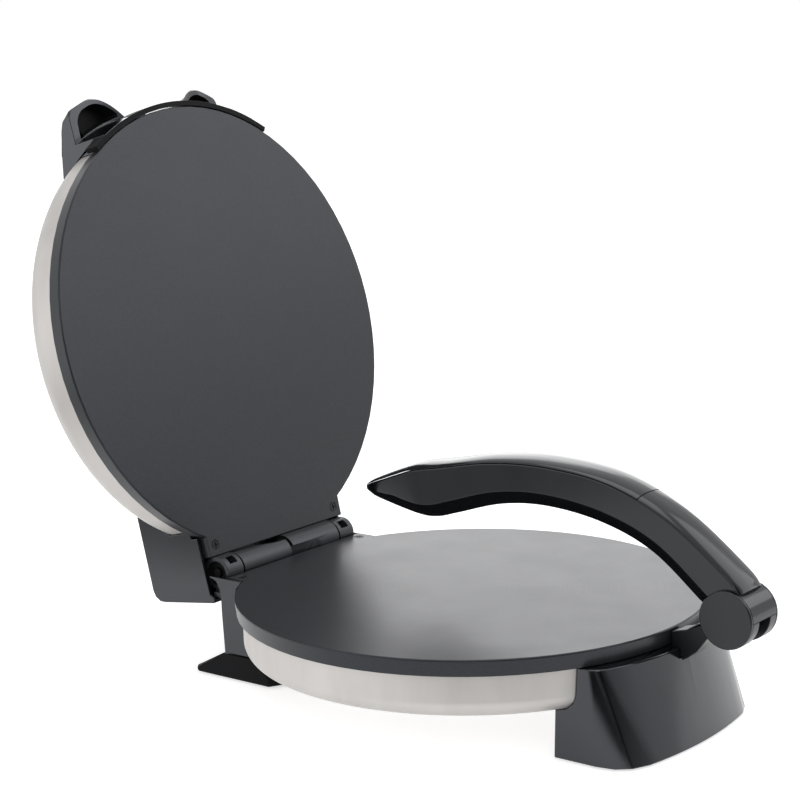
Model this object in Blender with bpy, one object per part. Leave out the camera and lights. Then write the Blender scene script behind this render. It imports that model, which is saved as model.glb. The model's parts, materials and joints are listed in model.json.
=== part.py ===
"""Electric roti maker, open on its rear hinge: plates, shells, hinge, stand, housings and press lever.

Every piece is drawn in plate coordinates: origin at the centre of the base plate's top, +X right,
+Y to the hinge, +Z up. Lid pieces are drawn closed, measured from the lid plate's face, and an
empty on the hinge axis opens them. Lever pieces are drawn from the hub's centre.
"""

import math

import bmesh
import bpy
from mathutils import Vector

for old in list(bpy.data.objects):
    bpy.data.objects.remove(old)

MM = 0.001

# Driving dimensions
PLATE_RADIUS = 127.0 * MM
PLATE_THICKNESS = 8.8 * MM
PLATE_TOP_HEIGHT = 58.0 * MM
BASE_SHELL_DEPTH = 22.9 * MM
LID_SHELL_DEPTH = 25.4 * MM
LID_OPEN_ANGLE = math.radians(105.0)
HUB_REACH = 35.6 * MM
HUB_HEIGHT = 11.6 * MM
HUB_RADIUS = 14.8 * MM
ARM_LENGTH = 230.3 * MM
ARM_RISE = 64.3 * MM
FIT_GAP = 0.3 * MM
OVERRUN = 5.0 * MM
LAP = 1.0 * MM
WELD = 0.001 * MM

# Counts and angles shared by several pieces
CIRCLE_SIDES = 72
ROD_SIDES = 20
SCREW_SIDES = 16
CORNER_STEPS = 3
SMOOTH_ANGLE = math.radians(32.0)

# Hinge place: the barrel lies close behind the plates' tabs, its axis between the two faces
TAB_SETBACK = 2.8 * MM
BARREL_RADIUS = 9.1 * MM
BARREL_CLEARANCE = 0.3 * MM
HINGE_RISE = 0.8 * MM
PLATES_APART = 0.5 * MM
TAB_EDGE = PLATE_RADIUS - TAB_SETBACK
HINGE_Y = TAB_EDGE + BARREL_CLEARANCE + BARREL_RADIUS
HINGE_IN_LID = HINGE_RISE - PLATES_APART
FLOOR_Z = -PLATE_TOP_HEIGHT
UNDER_PLATE = PLATE_THICKNESS + FIT_GAP
HUB_Y = -(PLATE_RADIUS + HUB_REACH)


def material(name, colour, metallic, roughness):
    made = bpy.data.materials.new(name)
    made.use_nodes = True
    shader = made.node_tree.nodes["Principled BSDF"]
    shader.inputs["Base Color"].default_value = (*colour, 1.0)
    shader.inputs["Metallic"].default_value = metallic
    shader.inputs["Roughness"].default_value = roughness
    return made


NONSTICK = material("nonstick_coating", (0.045, 0.048, 0.054), 0.0, 0.42)
STEEL = material("brushed_steel", (0.62, 0.61, 0.60), 1.0, 0.32)
GLOSS_BLACK = material("gloss_black_plastic", (0.012, 0.012, 0.013), 0.0, 0.14)
SATIN_BLACK = material("satin_black_plastic", (0.03, 0.032, 0.035), 0.0, 0.38)
HINGE_COAT = material("hinge_black_coating", (0.05, 0.052, 0.058), 0.4, 0.4)
RUBBER = material("black_rubber", (0.02, 0.02, 0.02), 0.0, 0.8)
SCREW_STEEL = material("screw_steel", (0.35, 0.35, 0.36), 1.0, 0.35)
SHEATH = material("heater_sheath", (0.28, 0.27, 0.26), 1.0, 0.5)
WOOL = material("insulating_board", (0.55, 0.52, 0.46), 0.0, 0.95)
CERAMIC = material("heatproof_plastic", (0.75, 0.73, 0.68), 0.0, 0.5)


def add_empty(name, place):
    made = bpy.data.objects.new(name, None)
    bpy.context.scene.collection.objects.link(made)
    made.location = place
    return made


def finish(name, bm, frame, look=None):
    """The bmesh as an object under one of the three frames. Without a look it is a cutter."""
    bmesh.ops.remove_doubles(bm, verts=bm.verts, dist=WELD)
    bmesh.ops.recalc_face_normals(bm, faces=bm.faces)
    mesh = bpy.data.meshes.new(name)
    bm.to_mesh(mesh)
    bm.free()
    made = bpy.data.objects.new(name, mesh)
    bpy.context.scene.collection.objects.link(made)
    made.parent, pivot = frame
    made.location = -pivot
    if look is None:
        made.hide_render = True
        made.display_type = "WIRE"
    else:
        mesh.materials.append(look)
        mesh.shade_smooth()
        mesh.set_sharp_from_angle(angle=SMOOTH_ANGLE)
    return made


def boolean(target, other, operation="DIFFERENCE"):
    made = target.modifiers.new(operation.lower(), "BOOLEAN")
    made.object = other
    made.operation = operation
    made.solver = "EXACT"


def add_loops(bm, loops, closed_ends=True):
    """Skins equal loops one after another, with a face at each end."""
    rings = [[bm.verts.new(point) for point in loop] for loop in loops]
    count = len(rings[0])
    for ring, following in zip(rings, rings[1:]):
        for index in range(count):
            after = (index + 1) % count
            bm.faces.new((ring[index], ring[after], following[after], following[index]))
    if closed_ends:
        bm.faces.new(rings[0])
        bm.faces.new(list(reversed(rings[-1])))


def loft(name, loops, frame, look=None):
    bm = bmesh.new()
    add_loops(bm, loops)
    return finish(name, bm, frame, look)


def prism(name, outline, axis, low, high, frame, look=None):
    """An outline extruded along axis 0, 1 or 2; its two numbers are the other axes in order."""
    others = [index for index in range(3) if index != axis]
    loops = []
    for level in (low, high):
        loop = []
        for first, second in outline:
            point = [0, 0, 0]
            point[axis] = level
            point[others[0]] = first
            point[others[1]] = second
            loop.append(point)
        loops.append(loop)
    return loft(name, loops, frame, look)


def box(name, low, high, frame, look=None):
    outline = [(low[0], low[1]), (high[0], low[1]), (high[0], high[1]), (low[0], high[1])]
    return prism(name, outline, 2, low[2], high[2], frame, look)


def lathe(name, profile, frame, look=None, sides=CIRCLE_SIDES, arc=None):
    """A closed (radius, height) profile turned about Z, all round or between two angles."""
    bm = bmesh.new()
    start, end = arc or (0, 2 * math.pi)
    loops = []
    for step in range(sides + 1 if arc else sides):
        turn = start + (end - start) * step / sides
        loops.append([(r * math.cos(turn), r * math.sin(turn), z) for r, z in profile])
    if arc is None:
        loops.append(loops[0])
    add_loops(bm, loops, closed_ends=arc is not None)
    return finish(name, bm, frame, look)


def rod(name, axis, centre, radii, frame, look=None, sides=ROD_SIDES):
    """A turned rod along an axis; radii are (position along the axis, radius)."""
    loops = []
    for along, radius in radii:
        loop = []
        for step in range(sides):
            turn = 2 * math.pi * (step + 0.5) / sides
            point = [centre[0] + radius * math.cos(turn), centre[1] + radius * math.sin(turn)]
            point.insert(axis, along)
            loop.append(point)
        loops.append(loop)
    return loft(name, loops, frame, look)


def arc_points(radius, start, end, steps, centre=(0, 0)):
    """Points on a circle between two angles in degrees."""
    found = []
    for step in range(steps + 1):
        turn = math.radians(start + (end - start) * step / steps)
        found.append((centre[0] + radius * math.cos(turn), centre[1] + radius * math.sin(turn)))
    return found


def shared_points(shares, origin, size):
    """Points given as shares of a box: origin is its low corner and size its two lengths."""
    return [(origin[0] + size[0] * a, origin[1] + size[1] * b) for a, b in shares]


def blend(low, high, share):
    return low + (high - low) * share


# Lid front housing's outline, needed first because its farthest point sets the open depth
SKIRT_STANDOFF = 3.5 * MM
SKIRT_RADIUS = PLATE_RADIUS + SKIRT_STANDOFF
LID_BACK = UNDER_PLATE + LID_SHELL_DEPTH
ROOF_OVERLAP = 27.8 * MM
ROOF_RISE = 6.3 * MM
ROOF_END_Y = -(PLATE_RADIUS - ROOF_OVERLAP)
ROOF_END_Z = LID_BACK + ROOF_RISE
ROOF_KNEE = 15.5 * MM
ROOF_SHOULDER_DROP = 9.1 * MM
ROOF_BROW_DROP = 7.1 * MM
ROOF_KNEE_DROP = 3.2 * MM
TRIM_HALF = 60.8 * MM
MIDDLE_STANDOFF = 1.0 * MM
MIDDLE_SINK = 3.6 * MM
EAR_INNER_X = 23.0 * MM
EAR_PEAK_X = 47.0 * MM
EAR_REACH = 16.7 * MM
EAR_CORNER = 3.0 * MM
EAR_MOUTH = 22.0 * MM
MOUTH_RISE = 3.0 * MM
EAR_LIP = 1.6 * MM
EAR_SHOULDER = 3.4 * MM
EAR_BROW = 7.2 * MM
EAR_STEPS = 6


def ear_share(x):
    """0 between the ears, rising in a rounded shoulder to 1 at an ear's full reach."""
    share = min(max((abs(x) - EAR_INNER_X) / (EAR_PEAK_X - EAR_INNER_X), 0), 1)
    return 1 - (1 - share) ** 2


def on_radius(radius, x):
    return -math.sqrt(radius**2 - x**2)


def root_radius(x):
    return PLATE_RADIUS + blend(MIDDLE_STANDOFF, SKIRT_STANDOFF, ear_share(x))


def ear_front(x, half, inward):
    """Y of the outer wall at one station, moved in by inward and rounded off at its outer end."""
    past = max(abs(x) - (half - EAR_CORNER), 0)
    drop = EAR_CORNER - math.sqrt(max(EAR_CORNER**2 - past**2, 0))
    return on_radius(root_radius(x) + EAR_REACH * ear_share(x) - inward, x) + drop


def ear_stations(start, half):
    """Stations across one ear, close where its outline bends most."""
    found = [blend(start, EAR_PEAK_X, step / EAR_STEPS) for step in range(EAR_STEPS)]
    found += [EAR_PEAK_X, (EAR_PEAK_X + half) / 2]
    for step in range(CORNER_STEPS + 1):
        found.append(half - EAR_CORNER + EAR_CORNER * math.sin(math.pi / 2 * step / CORNER_STEPS))
    return found


def trim_loop(x):
    """Side-on section of the trim at one station, inner parts left for the shell to cut."""
    share = ear_share(x)
    sink = MIDDLE_SINK * (1 - share)
    root = on_radius(root_radius(x), x)
    front = ear_front(x, TRIM_HALF, 0)
    outward = max(abs(x) - EAR_INNER_X, 0) / (TRIM_HALF - EAR_INNER_X)
    lip = EAR_MOUTH + MOUTH_RISE * outward**2 - sink
    path = [
        (root, 0),
        (root, lip),
        (front + EAR_LIP * share / 2, lip),
        (front, lip + EAR_LIP),
        (front + blend(EAR_LIP, EAR_SHOULDER, share), ROOF_END_Z - ROOF_SHOULDER_DROP - sink),
        (front + blend(EAR_SHOULDER, EAR_BROW, share), ROOF_END_Z - ROOF_BROW_DROP - sink),
        (-(PLATE_RADIUS - ROOF_KNEE), ROOF_END_Z - ROOF_KNEE_DROP - sink / 2),
        (ROOF_END_Y, ROOF_END_Z - sink),
        (ROOF_END_Y, 0),
    ]
    return [(x, y, z) for y, z in path]


trim_stations = ear_stations(EAR_INNER_X, TRIM_HALF)
trim_stations = [-x for x in reversed(trim_stations)] + trim_stations
trim_loops = [trim_loop(x) for x in trim_stations]
LID_PIVOT = Vector((0, HINGE_Y, HINGE_IN_LID))


def opened_y(y, z):
    """How far back a point of the closed lid lies once the lid is open."""
    run, rise = y - LID_PIVOT.y, z - LID_PIVOT.z
    return HINGE_Y + run * math.cos(LID_OPEN_ANGLE) + rise * math.sin(LID_OPEN_ANGLE)


FRONT_REACH = HUB_Y - HUB_RADIUS
REAR_REACH = max(opened_y(y, z) for loop in trim_loops for _, y, z in loop)
PLATE_Y = -(FRONT_REACH + REAR_REACH) / 2

# The three frames
base_frame = add_empty("base_frame", (0, PLATE_Y, PLATE_TOP_HEIGHT))
lid_frame = add_empty("lid_frame", (0, PLATE_Y + HINGE_Y, PLATE_TOP_HEIGHT + HINGE_RISE))
lid_frame.rotation_euler = (-LID_OPEN_ANGLE, 0, 0)
lever_frame = add_empty("lever_frame", (0, PLATE_Y + HUB_Y, PLATE_TOP_HEIGHT + HUB_HEIGHT))
BASE = (base_frame, Vector((0, 0, 0)))
LID = (lid_frame, LID_PIVOT)
LEVER = (lever_frame, Vector((0, 0, 0)))

# Plates
PLATE_DRAFT = 1.0 * MM
PLATE_EDGE_ROUND = 0.8 * MM
PLATE_WEB = 5.0 * MM
PLATE_RIM_WIDTH = 22.0 * MM
TAB_HALF = 57.3 * MM
TAB_OVERLAP = 5.0 * MM
TAB_ROOT = math.sqrt(PLATE_RADIUS**2 - TAB_HALF**2) - TAB_OVERLAP
TAB_SCREW_INSET = 5.8 * MM
TAB_SCREW_X = TAB_HALF - TAB_SCREW_INSET
TAB_SCREW_Y = TAB_EDGE - TAB_SCREW_INSET
HEAD_RADIUS = 2.6 * MM
SHANK_RADIUS = 1.4 * MM
CONE_DEPTH = 1.8 * MM
HEAD_SINK = 0.1 * MM
CROSS_DEPTH = 0.8 * MM
CROSS_REACH = 1.6 * MM
CROSS_HALF = 0.4 * MM
LEAF_THICKNESS = 3.0 * MM
SIDES = ((-1, "left"), (1, "right"))


def screw_cutter(name, x, up, frame):
    """Hole for a tab screw: cone at the plate's face, shank through. up is 1 when the face looks up."""
    head, shank = HEAD_RADIUS + FIT_GAP, SHANK_RADIUS + FIT_GAP
    radii = [
        (up * OVERRUN, head),
        (0, head),
        (-up * (CONE_DEPTH + FIT_GAP), shank),
        (-up * (PLATE_THICKNESS + LEAF_THICKNESS + OVERRUN), shank),
    ]
    return rod(name, 2, (x, TAB_SCREW_Y), radii, frame, sides=SCREW_SIDES)


def tab_screw(name, x, up, frame):
    """Countersunk cross-slot screw that holds a plate's tab to its hinge leaf."""
    top = -up * HEAD_SINK
    radii = [
        (top, HEAD_RADIUS),
        (top - up * CONE_DEPTH, SHANK_RADIUS),
        (-up * (PLATE_THICKNESS + LEAF_THICKNESS), SHANK_RADIUS),
    ]
    made = rod(name, 2, (x, TAB_SCREW_Y), radii, frame, SCREW_STEEL, sides=SCREW_SIDES)
    low, high = sorted((top + up * OVERRUN, top - up * CROSS_DEPTH))
    for index, (half_x, half_y) in enumerate(((CROSS_REACH, CROSS_HALF), (CROSS_HALF, CROSS_REACH))):
        slot = box(
            f"{name}_slot_{index}_cutter",
            (x - half_x, TAB_SCREW_Y - half_y, low),
            (x + half_x, TAB_SCREW_Y + half_y, high),
            frame,
        )
        boolean(made, slot)


def plate(name, up, frame):
    """A cooking plate: face at z=0, a recess in its back for the heater, a tab toward the hinge."""
    back = -up * PLATE_THICKNESS
    foot_radius = PLATE_RADIUS - PLATE_DRAFT
    recess_radius = PLATE_RADIUS - PLATE_RIM_WIDTH
    corner = PLATE_EDGE_ROUND * (1 - math.sqrt(0.5))
    profile = [
        (0, 0),
        (PLATE_RADIUS - PLATE_EDGE_ROUND, 0),
        (PLATE_RADIUS - corner, -up * corner),
        (PLATE_RADIUS, -up * PLATE_EDGE_ROUND),
        (foot_radius, back),
        (recess_radius, back),
        (recess_radius, -up * PLATE_WEB),
        (0, -up * PLATE_WEB),
    ]
    disc = lathe(name, profile, frame, NONSTICK)
    low, high = sorted((0, back))
    tab = box(name + "_tab_tool", (-TAB_HALF, TAB_ROOT, low), (TAB_HALF, TAB_EDGE, high), frame)
    boolean(disc, tab, "UNION")
    behind = box(
        name + "_rear_cutter",
        (-PLATE_RADIUS, TAB_EDGE, low - OVERRUN),
        (PLATE_RADIUS, TAB_EDGE + PLATE_RADIUS, high + OVERRUN),
        frame,
    )
    boolean(disc, behind)
    for side, word in SIDES:
        boolean(disc, screw_cutter(f"{name}_{word}_screw_cutter", side * TAB_SCREW_X, up, frame))


plate("base_plate", 1, BASE)
plate("lid_plate", -1, LID)
for side, word in SIDES:
    tab_screw(f"base_tab_screw_{word}", side * TAB_SCREW_X, 1, BASE)
    tab_screw(f"lid_tab_screw_{word}", side * TAB_SCREW_X, -1, LID)

# Drawn steel shells over the plates' backs
BASE_SHELL_INSET = 4.2 * MM
LID_SHELL_INSET = 3.6 * MM
BASE_SHELL_CORNER = 9.0 * MM
LID_SHELL_CORNER = 13.5 * MM
SHEET = 0.8 * MM
SHELL_CORNER_STEPS = 3
BASE_BACK = UNDER_PLATE + BASE_SHELL_DEPTH


def shell_outline(inset, corner, back, sign, inward):
    """From the rim round the drawn corner to the centre, moved in by inward."""
    radius = PLATE_RADIUS - inset - inward
    round_radius = corner - inward
    depth = back - inward
    points = [(radius, sign * UNDER_PLATE)]
    for step in range(SHELL_CORNER_STEPS + 1):
        turn = math.pi / 2 * step / SHELL_CORNER_STEPS
        across = radius - round_radius * (1 - math.cos(turn))
        points.append((across, sign * (depth - round_radius * (1 - math.sin(turn)))))
    points.append((0, sign * depth))
    return points


def shell(name, inset, corner, back, sign, frame):
    outer = shell_outline(inset, corner, back, sign, 0)
    inner = shell_outline(inset, corner, back, sign, SHEET)
    return lathe(name, outer + list(reversed(inner)), frame, STEEL)


def shell_clearance(name, inset, corner, back, sign, frame):
    """The space of a plate and its shell with the fitting gap round both."""
    side = PLATE_RADIUS + FIT_GAP
    profile = [(0, -sign * OVERRUN), (side, -sign * OVERRUN), (side, sign * UNDER_PLATE)]
    profile += shell_outline(inset, corner, back, sign, -FIT_GAP)
    return lathe(name, profile, frame)


base_shape = (BASE_SHELL_INSET, BASE_SHELL_CORNER, BASE_BACK, -1, BASE)
lid_shape = (LID_SHELL_INSET, LID_SHELL_CORNER, LID_BACK, 1, LID)
base_pan = shell("base_pan", *base_shape)
lid_pan = shell("lid_pan", *lid_shape)
base_clear = shell_clearance("base_shell_cutter", *base_shape)
lid_clear = shell_clearance("lid_shell_cutter", *lid_shape)

# Heaters, insulation and thermal switches inside the shells
HEATER_INSET = 42.0 * MM
HEATER_ROD = 3.3 * MM
HEATER_ARC = (math.radians(-68.0), math.radians(248.0))
HEATER_STEPS = 32
HEATER_SIDES = 8
INSULATION_INSET = 19.0 * MM
INSULATION_HOLE = 18.0 * MM
INSULATION_SIDES = 40
SWITCH_FLANGE_RADIUS = 14.0 * MM
SWITCH_FLANGE = 2.0 * MM
SWITCH_RADIUS = 10.0 * MM
SWITCH_HEIGHT = 12.0 * MM
SEAT = PLATE_WEB + FIT_GAP


def heater(name, sign, frame):
    """Sheathed ring heater in the plate's recess."""
    middle = sign * (SEAT + HEATER_ROD)
    ring_radius = PLATE_RADIUS - HEATER_INSET
    loops = []
    for step in range(HEATER_STEPS + 1):
        turn = blend(*HEATER_ARC, step / HEATER_STEPS)
        outward = Vector((math.cos(turn), math.sin(turn), 0))
        loop = []
        for side in range(HEATER_SIDES):
            angle = 2 * math.pi * (side + 0.5) / HEATER_SIDES
            across = ring_radius + HEATER_ROD * math.cos(angle)
            loop.append(outward * across + Vector((0, 0, middle + HEATER_ROD * math.sin(angle))))
        loops.append(loop)
    loft(name, loops, frame, SHEATH)


def insulation(name, sign, back, frame):
    """Ring of mineral board between the heater and the shell."""
    near = SEAT + 2 * HEATER_ROD + FIT_GAP
    far = back - SHEET - FIT_GAP
    radius = PLATE_RADIUS - INSULATION_INSET
    if radius > PLATE_RADIUS - PLATE_RIM_WIDTH:
        near = max(near, PLATE_THICKNESS + FIT_GAP)
    profile = [
        (INSULATION_HOLE, sign * near),
        (radius, sign * near),
        (radius, sign * far),
        (INSULATION_HOLE, sign * far),
    ]
    lathe(name, profile, frame, WOOL, sides=INSULATION_SIDES)


def thermal_switch(name, sign, frame):
    """Turned thermal switch pressed on the centre of a plate's back."""
    radii = [
        (sign * SEAT, SWITCH_FLANGE_RADIUS),
        (sign * (SEAT + SWITCH_FLANGE), SWITCH_FLANGE_RADIUS),
        (sign * (SEAT + SWITCH_FLANGE), SWITCH_RADIUS),
        (sign * (SEAT + SWITCH_HEIGHT), SWITCH_RADIUS),
    ]
    rod(name, 2, (0, 0), radii, frame, CERAMIC)


heater("base_heating_element", -1, BASE)
heater("lid_heating_element", 1, LID)
insulation("base_insulation", -1, BASE_BACK, BASE)
insulation("lid_insulation", 1, LID_BACK, LID)
thermal_switch("base_thermostat", -1, BASE)
thermal_switch("lid_fuse", 1, LID)

# Hinge: interleaved knuckles on two leaves, one pin
KNUCKLE_SPLIT = 42.0 * MM
KNUCKLE_SIDE_GAP = 0.15 * MM
BARREL_INSET = 1.9 * MM
BARREL_END = TAB_HALF - BARREL_INSET
LID_BARREL_RADIUS = 8.5 * MM
BARREL_SIDES = 28
PIN_RADIUS = 2.5 * MM
PIN_INSET = 0.2 * MM
LEAF_PAD_WIDTH = 13.0 * MM
LEAF_PAD_DEPTH = 11.2 * MM
LEAF_STANDOFF = 0.5 * MM
LEAF_TAIL = 1.0 * MM
WEB_SHARE = 0.75
WINDOW_WIDTH = 6.0 * MM
WINDOW_DEPTH = 5.0 * MM
WINDOW_TILT = math.radians(35.0)
LEAF_BACK = UNDER_PLATE + LEAF_STANDOFF + LEAF_THICKNESS


def knuckle_window(name, middle, sign, frame, axis_z):
    """A square window cut into the top of an end knuckle, tilted toward the plate."""
    outward = Vector((0, -math.sin(WINDOW_TILT), -sign * math.cos(WINDOW_TILT)))
    across = Vector((0, math.cos(WINDOW_TILT), -sign * math.sin(WINDOW_TILT)))
    centre = Vector((middle, HINGE_Y, axis_z))
    loops = []
    for reach in (BARREL_RADIUS + OVERRUN, PIN_RADIUS + FIT_GAP):
        corners = ((-1, -1), (1, -1), (1, 1), (-1, 1))
        loop = []
        for a, b in corners:
            sideways = Vector((a * WINDOW_WIDTH / 2, 0, 0))
            loop.append(centre + sideways + across * (b * WINDOW_DEPTH / 2) + outward * reach)
        loops.append(loop)
    return loft(name, loops, frame)


def hinge(name, sign, spans, radius, frame, axis_z):
    """Two knuckles on one leaf: pads under the tab at both ends, a strip along the barrel."""
    tail = HINGE_Y + LEAF_TAIL
    pad_front = TAB_EDGE - LEAF_PAD_DEPTH
    pad_inner = TAB_HALF - LEAF_PAD_WIDTH
    near, far = sorted((sign * (UNDER_PLATE + LEAF_STANDOFF), sign * LEAF_BACK))
    leaf = box(name, (-TAB_HALF, TAB_EDGE, near), (TAB_HALF, tail, far), frame, HINGE_COAT)
    low, high = sorted((sign * UNDER_PLATE, sign * LEAF_BACK))
    for side, word in SIDES:
        inner, outer = sorted((side * pad_inner, side * TAB_HALF))
        pad = box(f"{name}_{word}_pad_tool", (inner, pad_front, low), (outer, TAB_EDGE + LAP, high), frame)
        boolean(leaf, pad, "UNION")
    for index, (start, end) in enumerate(spans):
        ends = [(start, radius), (end, radius)]
        barrel = rod(f"{name}_barrel_{index}_tool", 0, (HINGE_Y, axis_z), ends, frame, sides=BARREL_SIDES)
        boolean(leaf, barrel, "UNION")
        bottom, top = sorted((axis_z + sign * radius / 2, sign * LEAF_BACK))
        web_front = HINGE_Y - radius * WEB_SHARE
        web = box(f"{name}_web_{index}_tool", (start, web_front, bottom), (end, tail, top), frame)
        boolean(leaf, web, "UNION")
    reach = BARREL_END + OVERRUN
    bore = PIN_RADIUS + FIT_GAP
    boolean(leaf, rod(name + "_bore_cutter", 0, (HINGE_Y, axis_z), [(-reach, bore), (reach, bore)], frame))
    for side, word in SIDES:
        boolean(leaf, screw_cutter(f"{name}_{word}_screw_cutter", side * TAB_SCREW_X, -sign, frame))
    end_span = spans[0] if sign < 0 else spans[1]
    window = knuckle_window(name + "_window_cutter", sum(end_span) / 2, sign, frame, axis_z)
    boolean(leaf, window)
    return leaf


end_knuckle = (KNUCKLE_SPLIT + KNUCKLE_SIDE_GAP, BARREL_END)
long_knuckle = (KNUCKLE_SIDE_GAP, KNUCKLE_SPLIT - KNUCKLE_SIDE_GAP)
base_spans = ((-end_knuckle[1], -end_knuckle[0]), long_knuckle)
lid_spans = ((-long_knuckle[1], -long_knuckle[0]), end_knuckle)
base_hinge = hinge("base_hinge", -1, base_spans, BARREL_RADIUS, BASE, HINGE_RISE)
lid_hinge = hinge("lid_hinge", 1, lid_spans, LID_BARREL_RADIUS, LID, HINGE_IN_LID)
boolean(base_hinge, base_clear)
boolean(lid_hinge, lid_clear)
pin_half = BARREL_END - PIN_INSET
pin_ends = [(-pin_half, PIN_RADIUS), (pin_half, PIN_RADIUS)]
rod("hinge_pin", 0, (HINGE_Y, HINGE_RISE), pin_ends, BASE, SCREW_STEEL)

# Rear stand: a column that follows the shell, with a cheek at each end of the hinge
CHEEK_WALL = 1.9 * MM
CHEEK_INNER = TAB_HALF + FIT_GAP
STAND_TOP_HALF = CHEEK_INNER + CHEEK_WALL
STAND_TAPER = 2.9 * MM
STAND_FOOT_HALF = STAND_TOP_HALF - STAND_TAPER
STAND_TOP_DROP = 0.2 * MM
STAND_FRONT = 12.6 * MM
STAND_DEPTH = 24.4 * MM
FOOT_HEIGHT = 13.9 * MM
STAND_FOOT_Z = FLOOR_Z + FOOT_HEIGHT + FIT_GAP
# Side outline as shares of the column's depth and height, from the front foot up and round
STAND_SIDE_SHARES = [
    (0.0, 0.0), (0.05, 0.50), (0.21, 0.70), (0.24, 0.80), (0.20, 0.895), (0.055, 0.98), (0.055, 1.0),
    (1.0, 1.0), (0.975, 0.98), (0.80, 0.945), (0.71, 0.845), (0.69, 0.73), (0.705, 0.56), (0.71, 0.0),
]
GLAND_HEIGHT_SHARE = 0.5
GLAND_RADIUS = 5.6 * MM
GLAND_FLANGE_RADIUS = 8.5 * MM
GLAND_FLANGE = 3.4 * MM
GLAND_HOLE = 3.4 * MM
GLAND_LIP_SHARE = 0.85

stand_top = -STAND_TOP_DROP
stand_front = TAB_EDGE - STAND_FRONT
stand_side = shared_points(
    STAND_SIDE_SHARES, (stand_front, STAND_FOOT_Z), (STAND_DEPTH, stand_top - STAND_FOOT_Z)
)
stand_rear = stand_side[-1][0]


def stand_half(z):
    return blend(STAND_FOOT_HALF, STAND_TOP_HALF, (z - STAND_FOOT_Z) / (stand_top - STAND_FOOT_Z))


stand_loops = [[(side * stand_half(z), y, z) for y, z in stand_side] for side, _ in SIDES]
stand = loft("rear_stand", stand_loops, BASE, GLOSS_BLACK)
seat_cutter = box(
    "stand_seat_cutter",
    (-CHEEK_INNER, stand_front - OVERRUN, -(LEAF_BACK + FIT_GAP)),
    (CHEEK_INNER, stand_front + STAND_DEPTH + OVERRUN, OVERRUN),
    BASE,
)
boolean(stand, seat_cutter)
boolean(stand, base_clear)

gland_z = blend(STAND_FOOT_Z, -LEAF_BACK, GLAND_HEIGHT_SHARE)
gland_inner = PLATE_RADIUS - BASE_SHELL_INSET + 2 * FIT_GAP
gland_seat = stand_rear + FIT_GAP
gland_radii = [
    (gland_inner, GLAND_RADIUS),
    (gland_seat, GLAND_RADIUS),
    (gland_seat, GLAND_FLANGE_RADIUS),
    (gland_seat + GLAND_FLANGE, GLAND_FLANGE_RADIUS * GLAND_LIP_SHARE),
]
gland = rod("cord_gland", 1, (0, gland_z), gland_radii, BASE, RUBBER)


def along_y(name, radius):
    """A round cutter along Y through the stand and the gland."""
    low, high = stand_front - OVERRUN, gland_seat + GLAND_FLANGE + OVERRUN
    return rod(name, 1, (0, gland_z), [(low, radius), (high, radius)], BASE)


boolean(stand, along_y("gland_hole_cutter", GLAND_RADIUS + FIT_GAP))
boolean(gland, along_y("gland_bore_cutter", GLAND_HOLE))

# Round-head screws driven from below
SMALL_HEAD_RADIUS = 3.4 * MM
SMALL_HEAD_HEIGHT = 2.2 * MM
SMALL_SHANK = 1.5 * MM
SMALL_HEAD_SHARE = 0.8
HIDDEN_THREAD = 14.0 * MM


def bottom_screw(name, x, y, seat_z, top):
    """Head under seat_z, shank up to top."""
    radii = [
        (seat_z - SMALL_HEAD_HEIGHT, SMALL_HEAD_RADIUS * SMALL_HEAD_SHARE),
        (seat_z - SMALL_HEAD_HEIGHT / 2, SMALL_HEAD_RADIUS),
        (seat_z, SMALL_HEAD_RADIUS),
        (seat_z, SMALL_SHANK),
        (top, SMALL_SHANK),
    ]
    rod(name, 2, (x, y), radii, BASE, SCREW_STEEL, sides=SCREW_SIDES)


def upright(name, x, y, low, high, radius=SMALL_SHANK + FIT_GAP):
    """An upright round cutter or tool."""
    return rod(name, 2, (x, y), [(low, radius), (high, radius)], BASE, sides=SCREW_SIDES)


# Rear foot: a wedge that runs out to a thin tip behind, its front corners cut off
FOOT_SIDE_OUT = 2.8 * MM
FOOT_HALF = STAND_FOOT_HALF + FOOT_SIDE_OUT
FOOT_NOSE_INSET = 9.1 * MM
FOOT_NOSE_HALF = FOOT_HALF - FOOT_NOSE_INSET
FOOT_FRONT = 34.7 * MM
FOOT_CORNER = 5.0 * MM
FOOT_REAR = 25.6 * MM
FOOT_TIP_ROUND = 2.4 * MM
FOOT_LIFT = 0.8 * MM
FOOT_SIDE_HEIGHT = 5.2 * MM
FOOT_TIP_HEIGHT = 3.4 * MM
FOOT_RIDGE_WIDER = 0.3 * MM
FOOT_SHOULDER = 1.0 * MM
FOOT_SCREW_INSET = 16.6 * MM
FOOT_SCREW_RECESS = 4.6 * MM
foot_bottom = FLOOR_Z + FOOT_LIFT
foot_front = TAB_EDGE - FOOT_FRONT
foot_rear = TAB_EDGE + FOOT_REAR
foot_ridge_z = FLOOR_Z + FOOT_HEIGHT
foot_screw_y = (stand_side[0][0] + stand_rear) / 2 + FOOT_SHOULDER


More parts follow.
